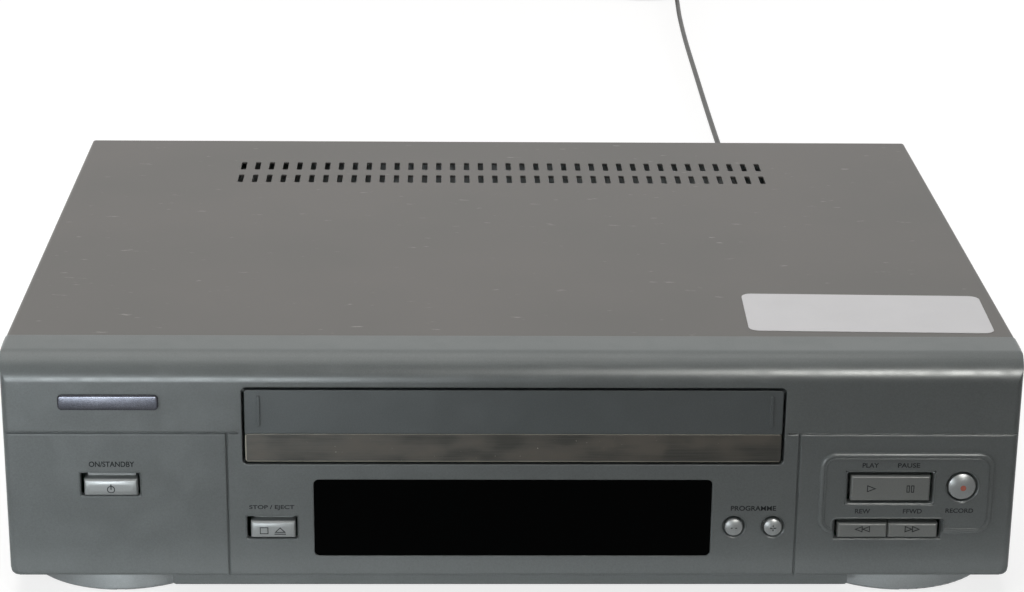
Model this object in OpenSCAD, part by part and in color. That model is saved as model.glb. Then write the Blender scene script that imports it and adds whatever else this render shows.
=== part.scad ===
// Front-loading video cassette recorder for half-inch tape, with its tape deck, boards, sockets and
// mains lead as separate pieces. Millimetres, +Z up, +X to the right seen from the front.
// The origin is on the table, under the middle of the box that the recorder fills without its lead.

/* [Case] */
// Width of the case
body_w = 384; // [380:1:386]
// Height from the table to the top of the cover
body_h = 96.5; // [96:0.5:98]
// Depth from the flat front face to the back edge of the cover
body_d = 287; // [284:0.5:290]
// Height of the feet
foot_h = 7.8; // [7.5:0.1:8.8]
// Radius of the rounded brow along the top of the fascia
brow_r = 10; // [8:0.5:11]
// Wall of the moulded fascia
fascia_wall = 2.5; // [2.2:0.1:2.8]
// Depth of the fascia, back to the cover's front edge
fascia_d = 24; // [23:0.5:24]
// How far each side of the fascia draws in from the cover to the front
draw_in = 1.3; // [0.5:0.1:1.6]
// Steel sheet of the cover, pan and back panel
sheet = 1; // [0.8:0.1:1]
// Radius of the cover's folded edges
fold_r = 2; // [1.5:0.5:4]

/* [Vents] */
// Slots in each of the cover's two rows
slot_count = 38; // [20:1:38]
// Distance from one slot to the next
slot_pitch = 6.35; // [6:0.05:6.4]
// Width of a slot
slot_w = 2.4; // [1.5:0.1:3]
// Length of a slot
slot_l = 11.5; // [8:0.5:13]

/* [Cassette door] */
// Width of the opening in the fascia
bay_w = 203.5; // [202:0.5:204]
// Height of the opening's lower edge
bay_z0 = 53.8; // [53.5:0.1:54]
// Height of the opening's upper edge
bay_z1 = 84.9; // [84.5:0.1:85.5]
// Gap round the door
door_gap = 1; // [0.8:0.1:1.2]
// Height of the line between the door's silver part and its dark band
band_z = 66.1; // [62:0.1:68]

/* [Buttons] */
// How far the caps stand out in front of the fascia
cap_proud = 1.6; // [1.2:0.1:1.8]
// Travel of a push button
press = 1; // [0.6:0.1:1]
// Turn of the rocker to each side, in degrees
rocker_turn = 2.5; // [1:0.5:2.5]

/* [Tape deck] */
// Travel of the cassette holder towards the back
feed = 64; // [56:1:66]
// Travel of the cassette holder down on to the reels
drop = 20.4; // [18:0.1:20.4]
// Distance between the two reels
reel_gap = 92; // [92:1:92]
// Radius of the head drum
drum_r = 31; // [31:0.5:31]
// Lean of the head drum, in degrees
drum_lean = 6; // [5:0.5:6]

/* [Mains lead] */
// Diameter of the lead
cord_d = 3.2; // [3.2:0.1:3.4]
// Turns in the coil
coil_turns = 7; // [7:1:7]
// Radius at the middle of the coil's turns
coil_r = 18.4; // [18:0.1:19]

/* [Hidden] */
$fn = 48;

// The record cap is the foremost point and the aerial sockets the rearmost, and the origin is
// half way between them.
front_proud = 2;
rear_proud = 8.5;
face_y = front_proud - (body_d + front_proud + rear_proud) / 2;
cut = 0.1;       // how far a cutter passes the face it opens
run = 0.06;      // radial clearance of a pin or shaft in its bore
half_w = body_w / 2;
base_z = foot_h;
cover_u = fascia_d + 0.3;
panel_u = body_d - 2 * sheet;
cover_half = half_w - 0.3;
panel_half = half_w - 1.8;
pan_half = half_w - 3.5;

// Fascia features, as seen from the front: [left, right, low, high] or [centre x, centre z, radius]
window = [-74.9, 75.3, 16.2, 47.5];
power_cap = [-161, -141, 41.35, 47.9];
power_hole = [-162.3, -140.3, 41, 50];
stop_cap = [-98.9, -82.1, 24, 30.7];
stop_hole = [-100.3, -81.4, 23.3, 32.3];
play_cap = [127.75, 157.9, 39.6, 49.7];
play_hole = [126.8, 158.8, 38.9, 50.65];
rocker_at = [143.05, 5.4];
rewind_cap = [123.6, 142.4, 24.4, 30.1];
forward_cap = [142.8, 161.7, 24.4, 30.1];
wind_hole = [122.7, 162.9, 23.7, 31];
transport = [116, 182.2, 25.7, 58.9];
record_at = [170.1, 45.3];
record_r = 5.2;
programme_x = [84.1, 99];
programme_z = 28.3;
programme_r = 3.4;
groove_z = 66.4;
groove_x = [-107.3, 107.8];
raised = 0.9;    // height of the transport panel above the fascia
bay_left = -101.5;
bay_right = bay_left + bay_w;

// Door and its hinge
door_t = 3;
door_front = 0.3;
hinge_u = 3.9;
hinge_z = bay_z1 - 2.3;
pin_r = 1.2;
pin_l = 10;

// Heights of the levels inside
board_z = 13;
board_t = 1.6;
deck_z = 24;
deck_t = 1.5;
deck_top = deck_z + deck_t;
boss_h = 0.3;    // height of the ring that each reel table stands clear of the deck on
front_board_u = 16;
switch_u = 12.1;

// Feet: [distance from the middle, depth, radius]
front_foot = [150, 42, 40];
rear_foot = [150, 257, 15];
foot_lift = 0.5;  // height of a foot's underside, which its pad carries clear of the table
rim_r = 1;

// Cassette carriage
tray_half = 97;
tray_u0 = 34;
tray_l = 50;
tray_sheet = 1.2;
ledge_z = bay_z0 + 0.2;
tray_top = 80;
shoe_x0 = tray_half + 0.4;
shoe_t = 2.8;
side_x0 = shoe_x0 + shoe_t + 0.4;
side_top = 86;
rail_z = 78;
shoe_pins_u = [51, 67];
tray_pin_u = 59;
tray_pins_z = [62, 70];
slide_pin_r = 1.5;

// Places on the deck: [x, depth behind the face]
reel_u = 91.5;
drum_at = [0, 191];
drum_low = deck_top + 3;
capstan_at = [62, 156];
capstan_r = 2;
pinch_pivot = [82, 160];
pinch_park = [68.3, 140.7];
pinch_r = 6.5;
clutch_at = [0, reel_u];
pulley_small = 5;
pulley_big = 15;
pulley_z = 10.2;
guide_centre = [18, 186];
guide_park = [24, 141];
guide_turn = 56;

// Sockets on the back: [x, z]
scart_x = [-36, 22];
scart_z = 23.5;
aerial_x = -132;
aerial_z = [22.5, 37];
jack_x = -80;
jack_z = [22, 37];
lead_at = [142, 28];
relief_l = 32;

// Route of the lead: [x, distance behind the back panel, height], one point where its curve turns
cord_r = cord_d / 2;
lie = cord_r + 0.1;
coil_lift = 1.3;
lead_points = [[142, 34, 28], [142, 43, 28], [142, 53, 26.2], [142, 65, 21.2], [141.8, 76, 14.5],
               [141.5, 87, 8.4], [141.2, 98, 4], [141, 110, lie + 0.3], [140.6, 124, lie],
               [139.4, 159, lie], [138.4, 209, lie], [137.6, 269, lie], [137.4, 329, lie],
               [137.6, 399, lie], [138.2, 479, lie], [139, 569, lie], [140.6, 639, lie],
               [142.6, 684, lie], [143.4, 704, lie + 0.5], [143.6, 714, lie + coil_lift],
               [143.6, 720, lie + coil_lift]];
route = [for (p = lead_points) p + [0, panel_u, 0]];
cord_rings = 78;
cord_sides = 8;
coil_pitch = cord_d + 0.45;
loop_rings = 24;
coil_sides = 6;
coil_outer = coil_r + coil_pitch * coil_turns / 4;
coil_at = route[len(route) - 1] - [coil_outer, 0, 0];
coil_tail = 19.5;
plug_u = coil_at[1] + coil_tail;
plug_z = 7;

// Moves children from depths behind the flat face into the model's frame
module from_face() {
  translate([0, face_y, 0]) children();
}

module block(x0, x1, u0, u1, z0, z1) {
  translate([x0, u0, z0]) cube([x1 - x0, u1 - u0, z1 - z0]);
}

// Extrusions of outlines drawn in (x, z), (depth, z) and (x, depth)
module plate(u0, u1) {
  translate([0, u1, 0]) rotate([90, 0, 0]) linear_extrude(u1 - u0) children();
}

module prism(x0, x1) {
  translate([x0, 0, 0]) rotate([90, 0, 90]) linear_extrude(x1 - x0) children();
}

module slab(z0, z1) {
  translate([0, 0, z0]) linear_extrude(z1 - z0) children();
}

// Straight rods along the three axes
module rod_x(r, x0, x1, u, z) {
  translate([x0, u, z]) rotate([0, 90, 0]) cylinder(r = r, h = x1 - x0);
}

module rod_y(r, u0, u1, x, z) {
  translate([x, u0, z]) rotate([-90, 0, 0]) cylinder(r = r, h = u1 - u0);
}

module post(r, z0, z1, x, u) {
  translate([x, u, z0]) cylinder(r = r, h = z1 - z0);
}

// Rectangle between two corners with rounded corners
module soft_rect(x0, x1, y0, y1, r) {
  translate([x0 + r, y0]) square([x1 - x0 - 2 * r, y1 - y0]);
  translate([x0, y0 + r]) square([x1 - x0, y1 - y0 - 2 * r]);
  for (x = [x0 + r, x1 - r], y = [y0 + r, y1 - r])
    translate([x, y]) circle(r = r);
}

// Slot with round ends, between two centres along the first axis
module round_slot(a0, a1, b, r) {
  translate([a0, b - r]) square([a1 - a0, 2 * r]);
  for (a = [a0, a1]) translate([a, b]) circle(r = r);
}

// Four-sided dish that widens towards the front, for a chamfered mouth or a crowned cap
module dish(box, u0, u1, flare0, flare1) {
  intersection() {
    slab(box[2] - 9, box[3] + 9)
      polygon([[box[0] - flare0, u0], [box[1] + flare0, u0],
               [box[1] + flare1, u1], [box[0] - flare1, u1]]);
    prism(box[0] - 9, box[1] + 9)
      polygon([[u0, box[2] - flare0], [u0, box[3] + flare0],
               [u1, box[3] + flare1], [u1, box[2] - flare1]]);
  }
}

// Side view of the fascia: flat face, round brow and flat top, set in by one wall for the hollow
module fascia_side(inset, u1) {
  r = brow_r - inset;
  top = body_h - inset;
  low = base_z + (inset > 0 ? 2.2 : 0);
  translate([inset, low + 1]) square([u1 - inset, top - r - low - 1]);
  translate([inset + 1, low]) square([u1 - inset - 1, 2]);
  translate([inset + 1, low + 1]) circle(r = 1);
  translate([inset + r, low + 1]) square([u1 - inset - r, top - low - 1]);
  translate([inset + r, top - r]) circle(r = r);
}

// Front view of the case: a rectangle with its top corners at the folds and small ones below
module case_front(inset, low) {
  r_top = max(fold_r - inset, 0.5);
  w = half_w - inset;
  top = body_h - inset;
  translate([-w, low + 2.5]) square([2 * w, top - r_top - low - 2.5]);
  translate([-w + 2.5, low]) square([2 * w - 5, 5]);
  translate([-w + r_top, low + 2.5]) square([2 * w - 2 * r_top, top - low - 2.5]);
  for (s = [-1, 1]) {
    translate([s * (w - 2.5), low + 2.5]) circle(r = 2.5);
    translate([s * (w - r_top), top - r_top]) circle(r = r_top);
  }
}

// Plan of the fascia: its sides draw in towards two small front corners
module fascia_plan() {
  r = 2.6;
  hull() {
    translate([-half_w, fascia_d - 1]) square([2 * half_w, 1]);
    for (s = [-1, 1]) translate([s * (half_w - draw_in - r), r]) circle(r = r);
  }
}

module fascia_shell() {
  difference() {
    union() {
      intersection() {
        prism(-half_w, half_w) fascia_side(0, fascia_d);
        plate(-cut, fascia_d + cut) case_front(0, base_z);
        slab(0, body_h + cut) fascia_plan();
      }
      // Tongue that the cover's front edge slides over
      intersection() {
        plate(fascia_d - 2, fascia_d + 5) case_front(1.5, base_z);
        block(-half_w, half_w, 0, fascia_d + 9, base_z + 5, body_h);
      }
    }
    intersection() {
      prism(-half_w, half_w) fascia_side(fascia_wall, fascia_d + 9);
      plate(0, fascia_d + 9) case_front(fascia_wall, base_z + 2.2);
    }
  }
}

// Oblong button hole: a chamfered mouth outside and a straight hole through the wall
module button_hole(hole, mouth) {
  dish(hole, -raised - cut, 0.9, mouth + 1, 0);
  plate(0, fascia_wall + 1) soft_rect(hole[0], hole[1], hole[2], hole[3], 0.6);
}

module round_hole(x, z, r, front) {
  rod_y(r + 0.6, -1, fascia_wall + 1, x, z);
  translate([x, front - cut, z]) rotate([-90, 0, 0])
    cylinder(r1 = r + 1.6, r2 = r + 0.5, h = 1.2 + cut);
}

module front_fascia() {
  color("#6f7676") from_face() difference() {
    union() {
      fascia_shell();
      // Transport panel, raised on the right
      hull() {
        plate(0.1, 0.5) offset(6) offset(-6) translate([transport[0], transport[2]])
          square([transport[1] - transport[0], transport[3] - transport[2]]);
        plate(-raised, -raised + 0.1) offset(4.4) offset(-4.4)
          translate([transport[0] + 1.6, transport[2] + 1.2])
            square([transport[1] - transport[0] - 3.2, transport[3] - transport[2] - 2.8]);
      }
      // Skirt between the feet
      plate(0.6, 3.1) soft_rect(-129, 128.6, 3.9, base_z + 1.5, 1.2);
      // Sill and lintel of the cassette opening, and its hinge lugs
      block(bay_left - 2, bay_right + 2, 2, 9, bay_z0 - 2, bay_z0);
      block(bay_left - 2, bay_right + 2, 2, 6, bay_z1, bay_z1 + 2);
      for (x = [bay_left - 2.2, bay_right])
        block(x, x + 2.2, 2, 9, bay_z0 - 2, bay_z1 + 2);
      // Lugs for the rocker's pivot pins
      for (z = [play_cap[2] - 5, play_cap[3] + 1.6])
        block(140, 146, 2, 8.5, z, z + 3.4);
      // Bosses that carry the front board
      for (x = [-176, -120, 112, 176]) rod_y(3, 2, front_board_u, x, x > 0 ? 34 : 20);
      // Ribs inside the brow
      for (x = [-150, -75, 0, 75, 150]) block(x - 0.8, x + 0.8, 9, 23, 90.5, 94.5);
      // Snap hooks that hold the fascia to the pan
      for (x = [-160, -90, 90, 160]) {
        block(x - 5, x + 5, 20, 24, base_z + 2, base_z + 8);
        block(x - 5, x + 5, 23, 27.6, base_z + 6, base_z + 8);
      }
    }
    plate(-1, 2.6) soft_rect(bay_left, bay_right, bay_z0, bay_z1, 2);
    block(bay_left, bay_right, 2.4, 12, bay_z0, bay_z1);
    for (x = [bay_left - 3, bay_right - 1]) rod_x(pin_r + run, x, x + 4, hinge_u, hinge_z);
    plate(-1, fascia_wall + 1) soft_rect(window[0] - 0.15, window[1] + 0.15, window[2] - 0.15,
                                         window[3] + 0.15, 2);
    button_hole(power_hole, 0.1);
    button_hole(stop_hole, 0.1);
    button_hole(play_hole, 0.2);
    button_hole(wind_hole, 0.1);
    round_hole(record_at[0], record_at[1], record_r, -raised);
    for (x = programme_x) round_hole(x, programme_z, programme_r, 0);
    for (z = [play_cap[2] - 6, play_cap[3] + 0.5]) post(pin_r + run, z, z + 5, rocker_at[0], rocker_at[1]);
    // Pocket in the wall for the door's spring
    block(bay_left - 10.5, bay_left - 3.2, fascia_wall - 1.4, fascia_wall + cut, hinge_z - 4, hinge_z + 4);
    // V grooves that divide the face
    for (x = [[-half_w - 1, bay_left - 1.5], [bay_right + 1.5, half_w + 1]])
      prism(x[0], x[1]) polygon([[-cut, groove_z - 0.6], [0.8, groove_z], [-cut, groove_z + 0.6]]);
    for (x = groove_x) slab(base_z - 1, groove_z)
      polygon([[x - 0.6, -cut], [x, 0.8], [x + 0.6, -cut]]);
    for (x = [-176, -120, 112, 176])
      rod_y(1.2, front_board_u - 8, front_board_u + 1, x, x > 0 ? 34 : 20);
  }
}

module display_window() {
  color("#0b0c0e") from_face() {
    plate(0.3, 2.8) soft_rect(window[0], window[1], window[2], window[3], 1.9);
    plate(2.6, 4) soft_rect(window[0] - 2.5, window[1] + 2.5, window[2] - 2.5, window[3] + 2.5, 3);
  }
}

module display_tube() {
  color("#1d2a2c") from_face() {
    plate(6, 12) soft_rect(-66, 66, 20, 44, 1);
    rod_y(1.6, 6.5, front_board_u, 68.5, 40);
    for (i = [0:15]) block(-60 + 8 * i, -59.2 + 8 * i, 12, front_board_u, 21, 21.6);
  }
}

// Push switch with its plunger, on the front board
module key_switch(x, z) {
  block(x - 3, x + 3, switch_u + 0.7, front_board_u, z - 3, z + 3);
  rod_y(1.7, switch_u, switch_u + 0.8, x, z);
}

function middle(box) = [(box[0] + box[1]) / 2, (box[2] + box[3]) / 2];

module front_board() {
  color("#2f6b45") from_face() {
    difference() {
      plate(front_board_u, front_board_u + board_t) soft_rect(-183, 183, 15.5, 50.8, 2);
      for (x = [-176, -120, 112, 176])
        rod_y(1.6, front_board_u - 1, front_board_u + 3, x, x > 0 ? 34 : 20);
    }
    for (c = [power_cap, stop_cap, rewind_cap, forward_cap])
      key_switch(middle(c)[0], middle(c)[1]);
    for (s = [-9, 9]) key_switch(rocker_at[0] + s, middle(play_cap)[1]);
    key_switch(record_at[0], record_at[1]);
    for (x = programme_x) key_switch(x, programme_z);
    // Ribbon connector and controller chip on its back
    block(-20, 20, front_board_u + board_t, front_board_u + 9, 24, 30);
    block(40, 60, front_board_u + board_t, front_board_u + 4, 24, 38);
  }
}

// Side view of the cover, rounded where its back edge is folded down
module cover_side(inset) {
  r = fold_r - inset;
  u1 = body_d - inset;
  top = body_h - inset;
  translate([cover_u - inset * 2, 0]) square([u1 - r - cover_u + inset * 2, top]);
  translate([cover_u - inset * 2, 0]) square([u1 - cover_u + inset * 2, top - r]);
  translate([u1 - r, top - r]) circle(r = r);
}

module top_cover() {
  color("#7c7b79") from_face() difference() {
    intersection() {
      prism(-half_w, half_w) cover_side(0);
      plate(cover_u - 1, body_d + 1) case_front(0.3, 4);
    }
    block(-half_w, half_w, 0, body_d + 9, 0, 9);
    intersection() {
      prism(-half_w, half_w) cover_side(sheet);
      plate(0, body_d + 1) case_front(0.3 + sheet, 0);
    }
    // The back is open inside its folded flange
    plate(body_d - 1.5, body_d + 1) soft_rect(-182, 182, 0, 86, 3);
    for (row = [226.4, 245.8], i = [0:slot_count - 1])
      translate([0, 0, body_h - 3]) linear_extrude(4) translate([slot_x(i), row])
        soft_rect(-slot_w / 2, slot_w / 2, -slot_l / 2, slot_l / 2, 0.8);
    for (s = [-1, 1], u = [70, 240]) rod_x(2, s * half_w - 3, s * half_w + 3, u, 17);
    for (x = [-150, 0, 150]) rod_y(2, body_d - 3, body_d + 1, x, 91);
  }
}

function slot_x(i) = (i - (slot_count - 1) / 2) * slot_pitch - 0.2;

module bottom_pan() {
  color("#a9adae") from_face() {
    difference() {
      union() {
        block(-pan_half, pan_half, cover_u, panel_u - 0.1, base_z, base_z + sheet);
        for (x = [-pan_half, pan_half - sheet])
          block(x, x + sheet, cover_u, panel_u - 0.1, base_z, 24);
        block(-pan_half, pan_half, cover_u, cover_u + sheet, base_z, base_z + 5.5);
        // Stiffening channels pressed across the floor
        for (u = [118, 200]) block(-180, 180, u, u + 8, base_z, base_z + 1.6);
      }
      for (s = [-1, 1], i = [0:11])
        block(s * 150 - 24, s * 150 + 24, 90 + 9 * i, 93 + 9 * i, 0, 20);
      for (s = [-1, 1], u = [70, 240]) rod_x(1.6, s * pan_half - 2, s * pan_half + 2, u, 17);
      for (s = [-1, 1], f = [front_foot, rear_foot]) post(1.8, 0, 20, s * f[0], f[1]);
    }
    // Stand-offs for the two boards, and pillars for the deck
    for (x = [-178, -112, 112, 178], u = [66, 268]) post(3.2, base_z + sheet, board_z, x, u);
    for (x = [-97, 97], u = [46, 232]) post(4, base_z + sheet, deck_z, x, u);
  }
}

module scart_hole(x) {
  soft_rect(x - 24.4, x + 24.4, scart_z - 7.2, scart_z + 7.2, 1);
}

module rear_panel() {
  color("#9da1a2") from_face() difference() {
    union() {
      plate(panel_u, panel_u + sheet) soft_rect(-panel_half, panel_half, base_z, 92.2, 1.5);
      // Flange that joins the pan
      block(-180, 180, panel_u - 8, panel_u + 0.5, base_z + sheet, base_z + 2 * sheet);
    }
    plate(panel_u - 1, panel_u + 3) for (x = scart_x) scart_hole(x);
    for (z = aerial_z) rod_y(5.6, panel_u - 1, panel_u + 3, aerial_x, z);
    for (z = jack_z) rod_y(4.9, panel_u - 1, panel_u + 3, jack_x, z);
    rod_y(4.6, panel_u - 1, panel_u + 3, lead_at[0], lead_at[1]);
    for (x = [-150, 0, 150]) rod_y(1.6, panel_u - 1, panel_u + 3, x, 91);
    for (x = scart_x, s = [-29, 29]) rod_y(1.5, panel_u - 1, panel_u + 3, x + s, scart_z);
    // Cooling slots over the power supply
    for (i = [0:11]) plate(panel_u - 1, panel_u + 3)
      soft_rect(74 + 7 * i, 76.4 + 7 * i, 52, 76, 1.1);
  }
}

// Moulded foot: a shallow cup with a rounded rim, and a groove for its pad
module foot(x, u, r) {
  translate([x, u, 0]) difference() {
    rotate_extrude() {
      translate([0, foot_lift + rim_r]) square([r, foot_h - foot_lift - rim_r]);
      translate([0, foot_lift]) square([r - rim_r, foot_h - foot_lift]);
      translate([r - rim_r, foot_lift + rim_r]) circle(r = rim_r);
    }
    translate([0, 0, -1]) cylinder(r = r * 0.6, h = 5);
    translate([0, 0, 0]) rotate_extrude() translate([r * 0.7, 0]) square([r * 0.2 + 0.1, 1.8]);
    translate([0, 0, -1]) cylinder(r = 1.8, h = foot_h + 2);
    translate([0, 0, foot_h - 5.4]) cylinder(r = 4.4, h = 3.2);
  }
}

module front_feet() {
  color("#8d9191") from_face() for (s = [-1, 1]) foot(s * front_foot[0], front_foot[1], front_foot[2]);
}

module rear_feet() {
  color("#8d9191") from_face() for (s = [-1, 1]) foot(s * rear_foot[0], rear_foot[1], rear_foot[2]);
}

module pad_ring(x, u, r) {
  translate([x, u, 0]) rotate_extrude() translate([r * 0.7 + 0.1, 0]) square([r * 0.2 - 0.1, 1.8]);
}

module foot_pads() {
  color("#2a2a2a") from_face() for (s = [-1, 1], f = [front_foot, rear_foot])
    pad_ring(s * f[0], f[1], f[2]);
}

// Pan-head screw with a cross recess, along +Y from its head
module screw(head_r, shank_r, l) {
  difference() {
    union() {
      rotate([-90, 0, 0]) cylinder(r = shank_r, h = l);
      rotate([90, 0, 0]) cylinder(r1 = head_r, r2 = head_r * 0.7, h = 1.7);
    }
    for (a = [0, 90]) rotate([0, a, 0]) translate([-head_r * 0.5, -3, -0.4])
      cube([head_r, 2.2, 0.8]);
  }
}

module screws() {
  color("#2d2d2f") from_face() {
    for (s = [-1, 1], u = [70, 240]) translate([s * cover_half, u, 17]) rotate([0, 0, s * 90])
      screw(3.6, 1.5, 5);
    for (x = [-150, 0, 150]) translate([x, body_d, 91]) rotate([0, 0, 180]) screw(3.6, 1.5, 5);
    for (x = scart_x, s = [-29, 29])
      translate([x + s, panel_u + sheet, scart_z]) rotate([0, 0, 180]) screw(2.8, 1.4, 5);
    for (s = [-1, 1], f = [front_foot, rear_foot])
      translate([s * f[0], f[1], foot_h - 2.2]) rotate([90, 0, 0]) screw(3.4, 1.7, 6);
    for (x = [-176, -120, 112, 176])
      translate([x, front_board_u + board_t, x > 0 ? 34 : 20]) rotate([0, 0, 180]) screw(2.6, 1.1, 6);
    for (x = [-97, 97], u = [46, 232])
      translate([x, u, deck_top]) rotate([-90, 0, 0]) screw(2.8, 1.4, 0.6);
  }
}

module main_board() {
  color("#2f6b45") from_face() difference() {
    slab(board_z, board_z + board_t)
      polygon([[-184, 34], [-107, 34], [-107, 244], [100, 244], [100, 279], [-184, 279]]);
    for (x = [-178, -112], u = [66, 268]) post(1.6, 10, 20, x, u);
  }
}

module board_parts() {
  color("#26282a") from_face() {
    z = board_z + board_t;
    block(-170, -142, 110, 138, z, z + 3);
    block(-140, -122, 150, 158, z, z + 4);
    block(-172, -148, 160, 170, z, z + 4);
    block(-176, -150, 186, 220, z, z + 12);
    for (u = [56, 72, 88], x = [-170, -154, -138]) post(4, z, z + 11, x, u);
    for (u = [180, 192, 204]) post(5, z, z + 14, -126, u);
  }
}

// Belling-Lee aerial socket: a shouldered metal sleeve, open at its end
module aerial_socket(z) {
  difference() {
    union() {
      rod_y(5.4, panel_u - 1, panel_u + 3, aerial_x, z);
      rod_y(4.75, panel_u + 2, body_d + rear_proud, aerial_x, z);
    }
    rod_y(4.15, panel_u + 1, body_d + rear_proud + 1, aerial_x, z);
  }
  rod_y(1.2, panel_u, body_d + rear_proud - 1.5, aerial_x, z);
}

module tuner_module() {
  color("#b8bcbd") from_face() {
    difference() {
      block(-152, -112, 226, panel_u - 0.9, board_z + board_t, 46);
      for (i = [0:4]) block(-147 + 7 * i, -143 + 7 * i, 232, 246, 45, 47);
    }
    for (z = aerial_z) aerial_socket(z);
  }
}

// Twenty-one pin socket: a metal skirt round a slotted insulator
module scart_socket(x) {
  color("#1c1d1f") from_face() {
    difference() {
      plate(262, body_d + 3) soft_rect(x - 24, x + 24, scart_z - 6.9, scart_z + 6.9, 0.8);
      plate(body_d - 12, body_d + 4)
        polygon([[x - 22.8, scart_z - 5.7], [x + 22.8, scart_z - 5.7], [x + 22.8, scart_z + 2.2],
                 [x + 19.4, scart_z + 5.7], [x - 22.8, scart_z + 5.7]]);
    }
    difference() {
      plate(body_d - 12.5, body_d + 1.5)
        soft_rect(x - 20.4, x + 18, scart_z - 2.2, scart_z + 2.2, 0.5);
      for (i = [0:9], z = [-1.35, 1.35])
        block(x - 19 + 3.8 * i, x - 18.2 + 3.8 * i, body_d - 8, body_d + 2,
              scart_z + z - 0.5, scart_z + z + 0.5);
    }
    // Feet on the board
    for (s = [-18, 18]) block(x + s - 4, x + s + 4, 263, 276, board_z + board_t, scart_z - 6.5);
  }
}

module scart_socket_1() {
  scart_socket(scart_x[0]);
}

module scart_socket_2() {
  scart_socket(scart_x[1]);
}

module audio_jacks() {
  color("#d8d8d4") from_face() {
    difference() {
      block(jack_x - 8, jack_x + 8, 262, panel_u - 0.1, board_z + board_t, 45);
      for (z = jack_z) rod_y(1.9, 261, 290, jack_x, z);
    }
    for (z = jack_z) difference() {
      rod_y(4.6, panel_u - 0.2, body_d + 6, jack_x, z);
      rod_y(3.2, body_d - 3, body_d + 7, jack_x, z);
      rod_y(1.9, panel_u - 1, body_d + 7, jack_x, z);
    }
  }
}

module power_board() {
  color("#8a6a3a") from_face() difference() {
    slab(board_z, board_z + board_t) soft_rect(107, 184, 56, 279, 1);
    for (x = [112, 178], u = [66, 268]) post(1.6, 10, 20, x, u);
  }
}

module power_transformer() {
  color("#7b6a3c") from_face() {
    z = board_z + board_t;
    difference() {
      block(122, 158, 150, 182, z + 3, z + 34);
      for (x = [129, 143]) block(x, x + 8, 149, 183, z + 9, z + 28);
    }
    block(126, 154, 147, 185, z + 9.5, z + 27.5);
    block(124, 156, 152, 180, z, z + 3);
  }
}

module heat_sink() {
  color("#b4b7b8") from_face() {
    z = board_z + board_t;
    block(166, 168, 140, 210, z, z + 44);
    for (i = [0:6]) block(168, 180, 141 + 11 * i, 142.4 + 11 * i, z + 6, z + 44);
  }
}

module power_capacitors() {
  color("#23262c") from_face() {
    z = board_z + board_t;
    post(11, z, z + 26, 140, 212);
    for (u = [100, 116, 132], x = [118, 134]) post(5, z, z + 18, x, u);
    block(150, 172, 96, 122, z, z + 14);
    block(116, 136, 244, 262, z, z + 12);
  }
}

// Arc slot that a tape guide's foot runs along, seen from above
module guide_arc(s, z0, z1, r) {
  reach = norm(guide_park - [-guide_centre[0], guide_centre[1]]);
  start = atan2(guide_park[1] - guide_centre[1], guide_park[0] + guide_centre[0]);
  mirror([s < 0 ? 1 : 0, 0, 0]) translate([-guide_centre[0], guide_centre[1], z0]) {
    rotate([0, 0, start]) rotate_extrude(angle = guide_turn) translate([reach - r, 0])
      square([2 * r, z1 - z0]);
    for (a = [start, start + guide_turn]) rotate([0, 0, a]) translate([reach, 0, 0])
      cylinder(r = r, h = z1 - z0);
  }
}

module deck_plate() {
  color("#b9bdbf") from_face() {
    difference() {
      union() {
        slab(deck_z, deck_top) soft_rect(-104, 104, 36, 240, 4);
        // Folded edge along the back, and a boss ring round each reel
        block(-96, 96, 238.8, 240, deck_z, deck_z + 10);
        for (s = [-1, 1]) post(6, deck_z, deck_top + boss_h, s * reel_gap / 2, reel_u);
        post(7, deck_z, deck_top + 2.6, capstan_at[0], capstan_at[1]);
      }
      for (s = [-1, 1]) guide_arc(s, deck_z - 1, deck_top + 1, 2.6);
      post(capstan_r + run, deck_z - 1, deck_top + 14, capstan_at[0], capstan_at[1]);
      for (x = [-97, 97], u = [46, 232]) post(1.6, deck_z - 1, deck_top + 1, x, u);
      // Lightening holes
      slab(deck_z - 1, deck_top + 1) {
        soft_rect(-22, 22, 44, 66, 4);
        soft_rect(-90, -66, 110, 134, 4);
        soft_rect(66, 88, 108, 128, 4);
        soft_rect(-16, 16, 112, 132, 4);
        soft_rect(-74, -48, 206, 230, 4);
        soft_rect(60, 92, 186, 228, 4);
      }
    }
  }
}

// Side plate of the cassette carriage, with the rail slot for the shoes' pins
module carriage_side(s) {
  x0 = s > 0 ? side_x0 : -side_x0 - tray_sheet;
  color("#aeb3b5") from_face() {
    difference() {
      prism(x0, x0 + tray_sheet)
        polygon([[36, deck_top], [165, deck_top], [165, 74], [156, side_top], [36, side_top]]);
      prism(x0 - 1, x0 + 3) {
        round_slot(shoe_pins_u[0] - 0.3, shoe_pins_u[1] + feed + 0.3, rail_z, slide_pin_r + run);
        soft_rect(48, 78, 34, 66, 4);
        soft_rect(90, 148, 34, 66, 4);
      }
    }
    // Foot folded outwards on to the deck
    block(s > 0 ? x0 : x0 - 1, s > 0 ? x0 + 2.2 : x0 + tray_sheet, 50, 70, deck_top, deck_top + 1.2);
  }
}

module carriage_side_left() {
  carriage_side(-1);
}

module carriage_side_right() {
  carriage_side(1);
}

module carriage_bridge() {
  color("#aeb3b5") from_face() difference() {
    union() {
      slab(side_top, side_top + tray_sheet)
        soft_rect(-side_x0 - 1.2, side_x0 + 1.2, 60, 150, 3);
      for (u = [60, 148.8]) block(-92, 92, u, u + 1.2, side_top, side_top + 5);
    }
    slab(side_top - 1, side_top + 3) {
      soft_rect(-80, -20, 78, 132, 6);
      soft_rect(20, 80, 78, 132, 6);
    }
  }
}

// Everything on the head drum's own leaning axis
module on_drum() {
  translate([drum_at[0], drum_at[1], drum_low]) rotate([-drum_lean, 0, 0]) children();
}

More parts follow.
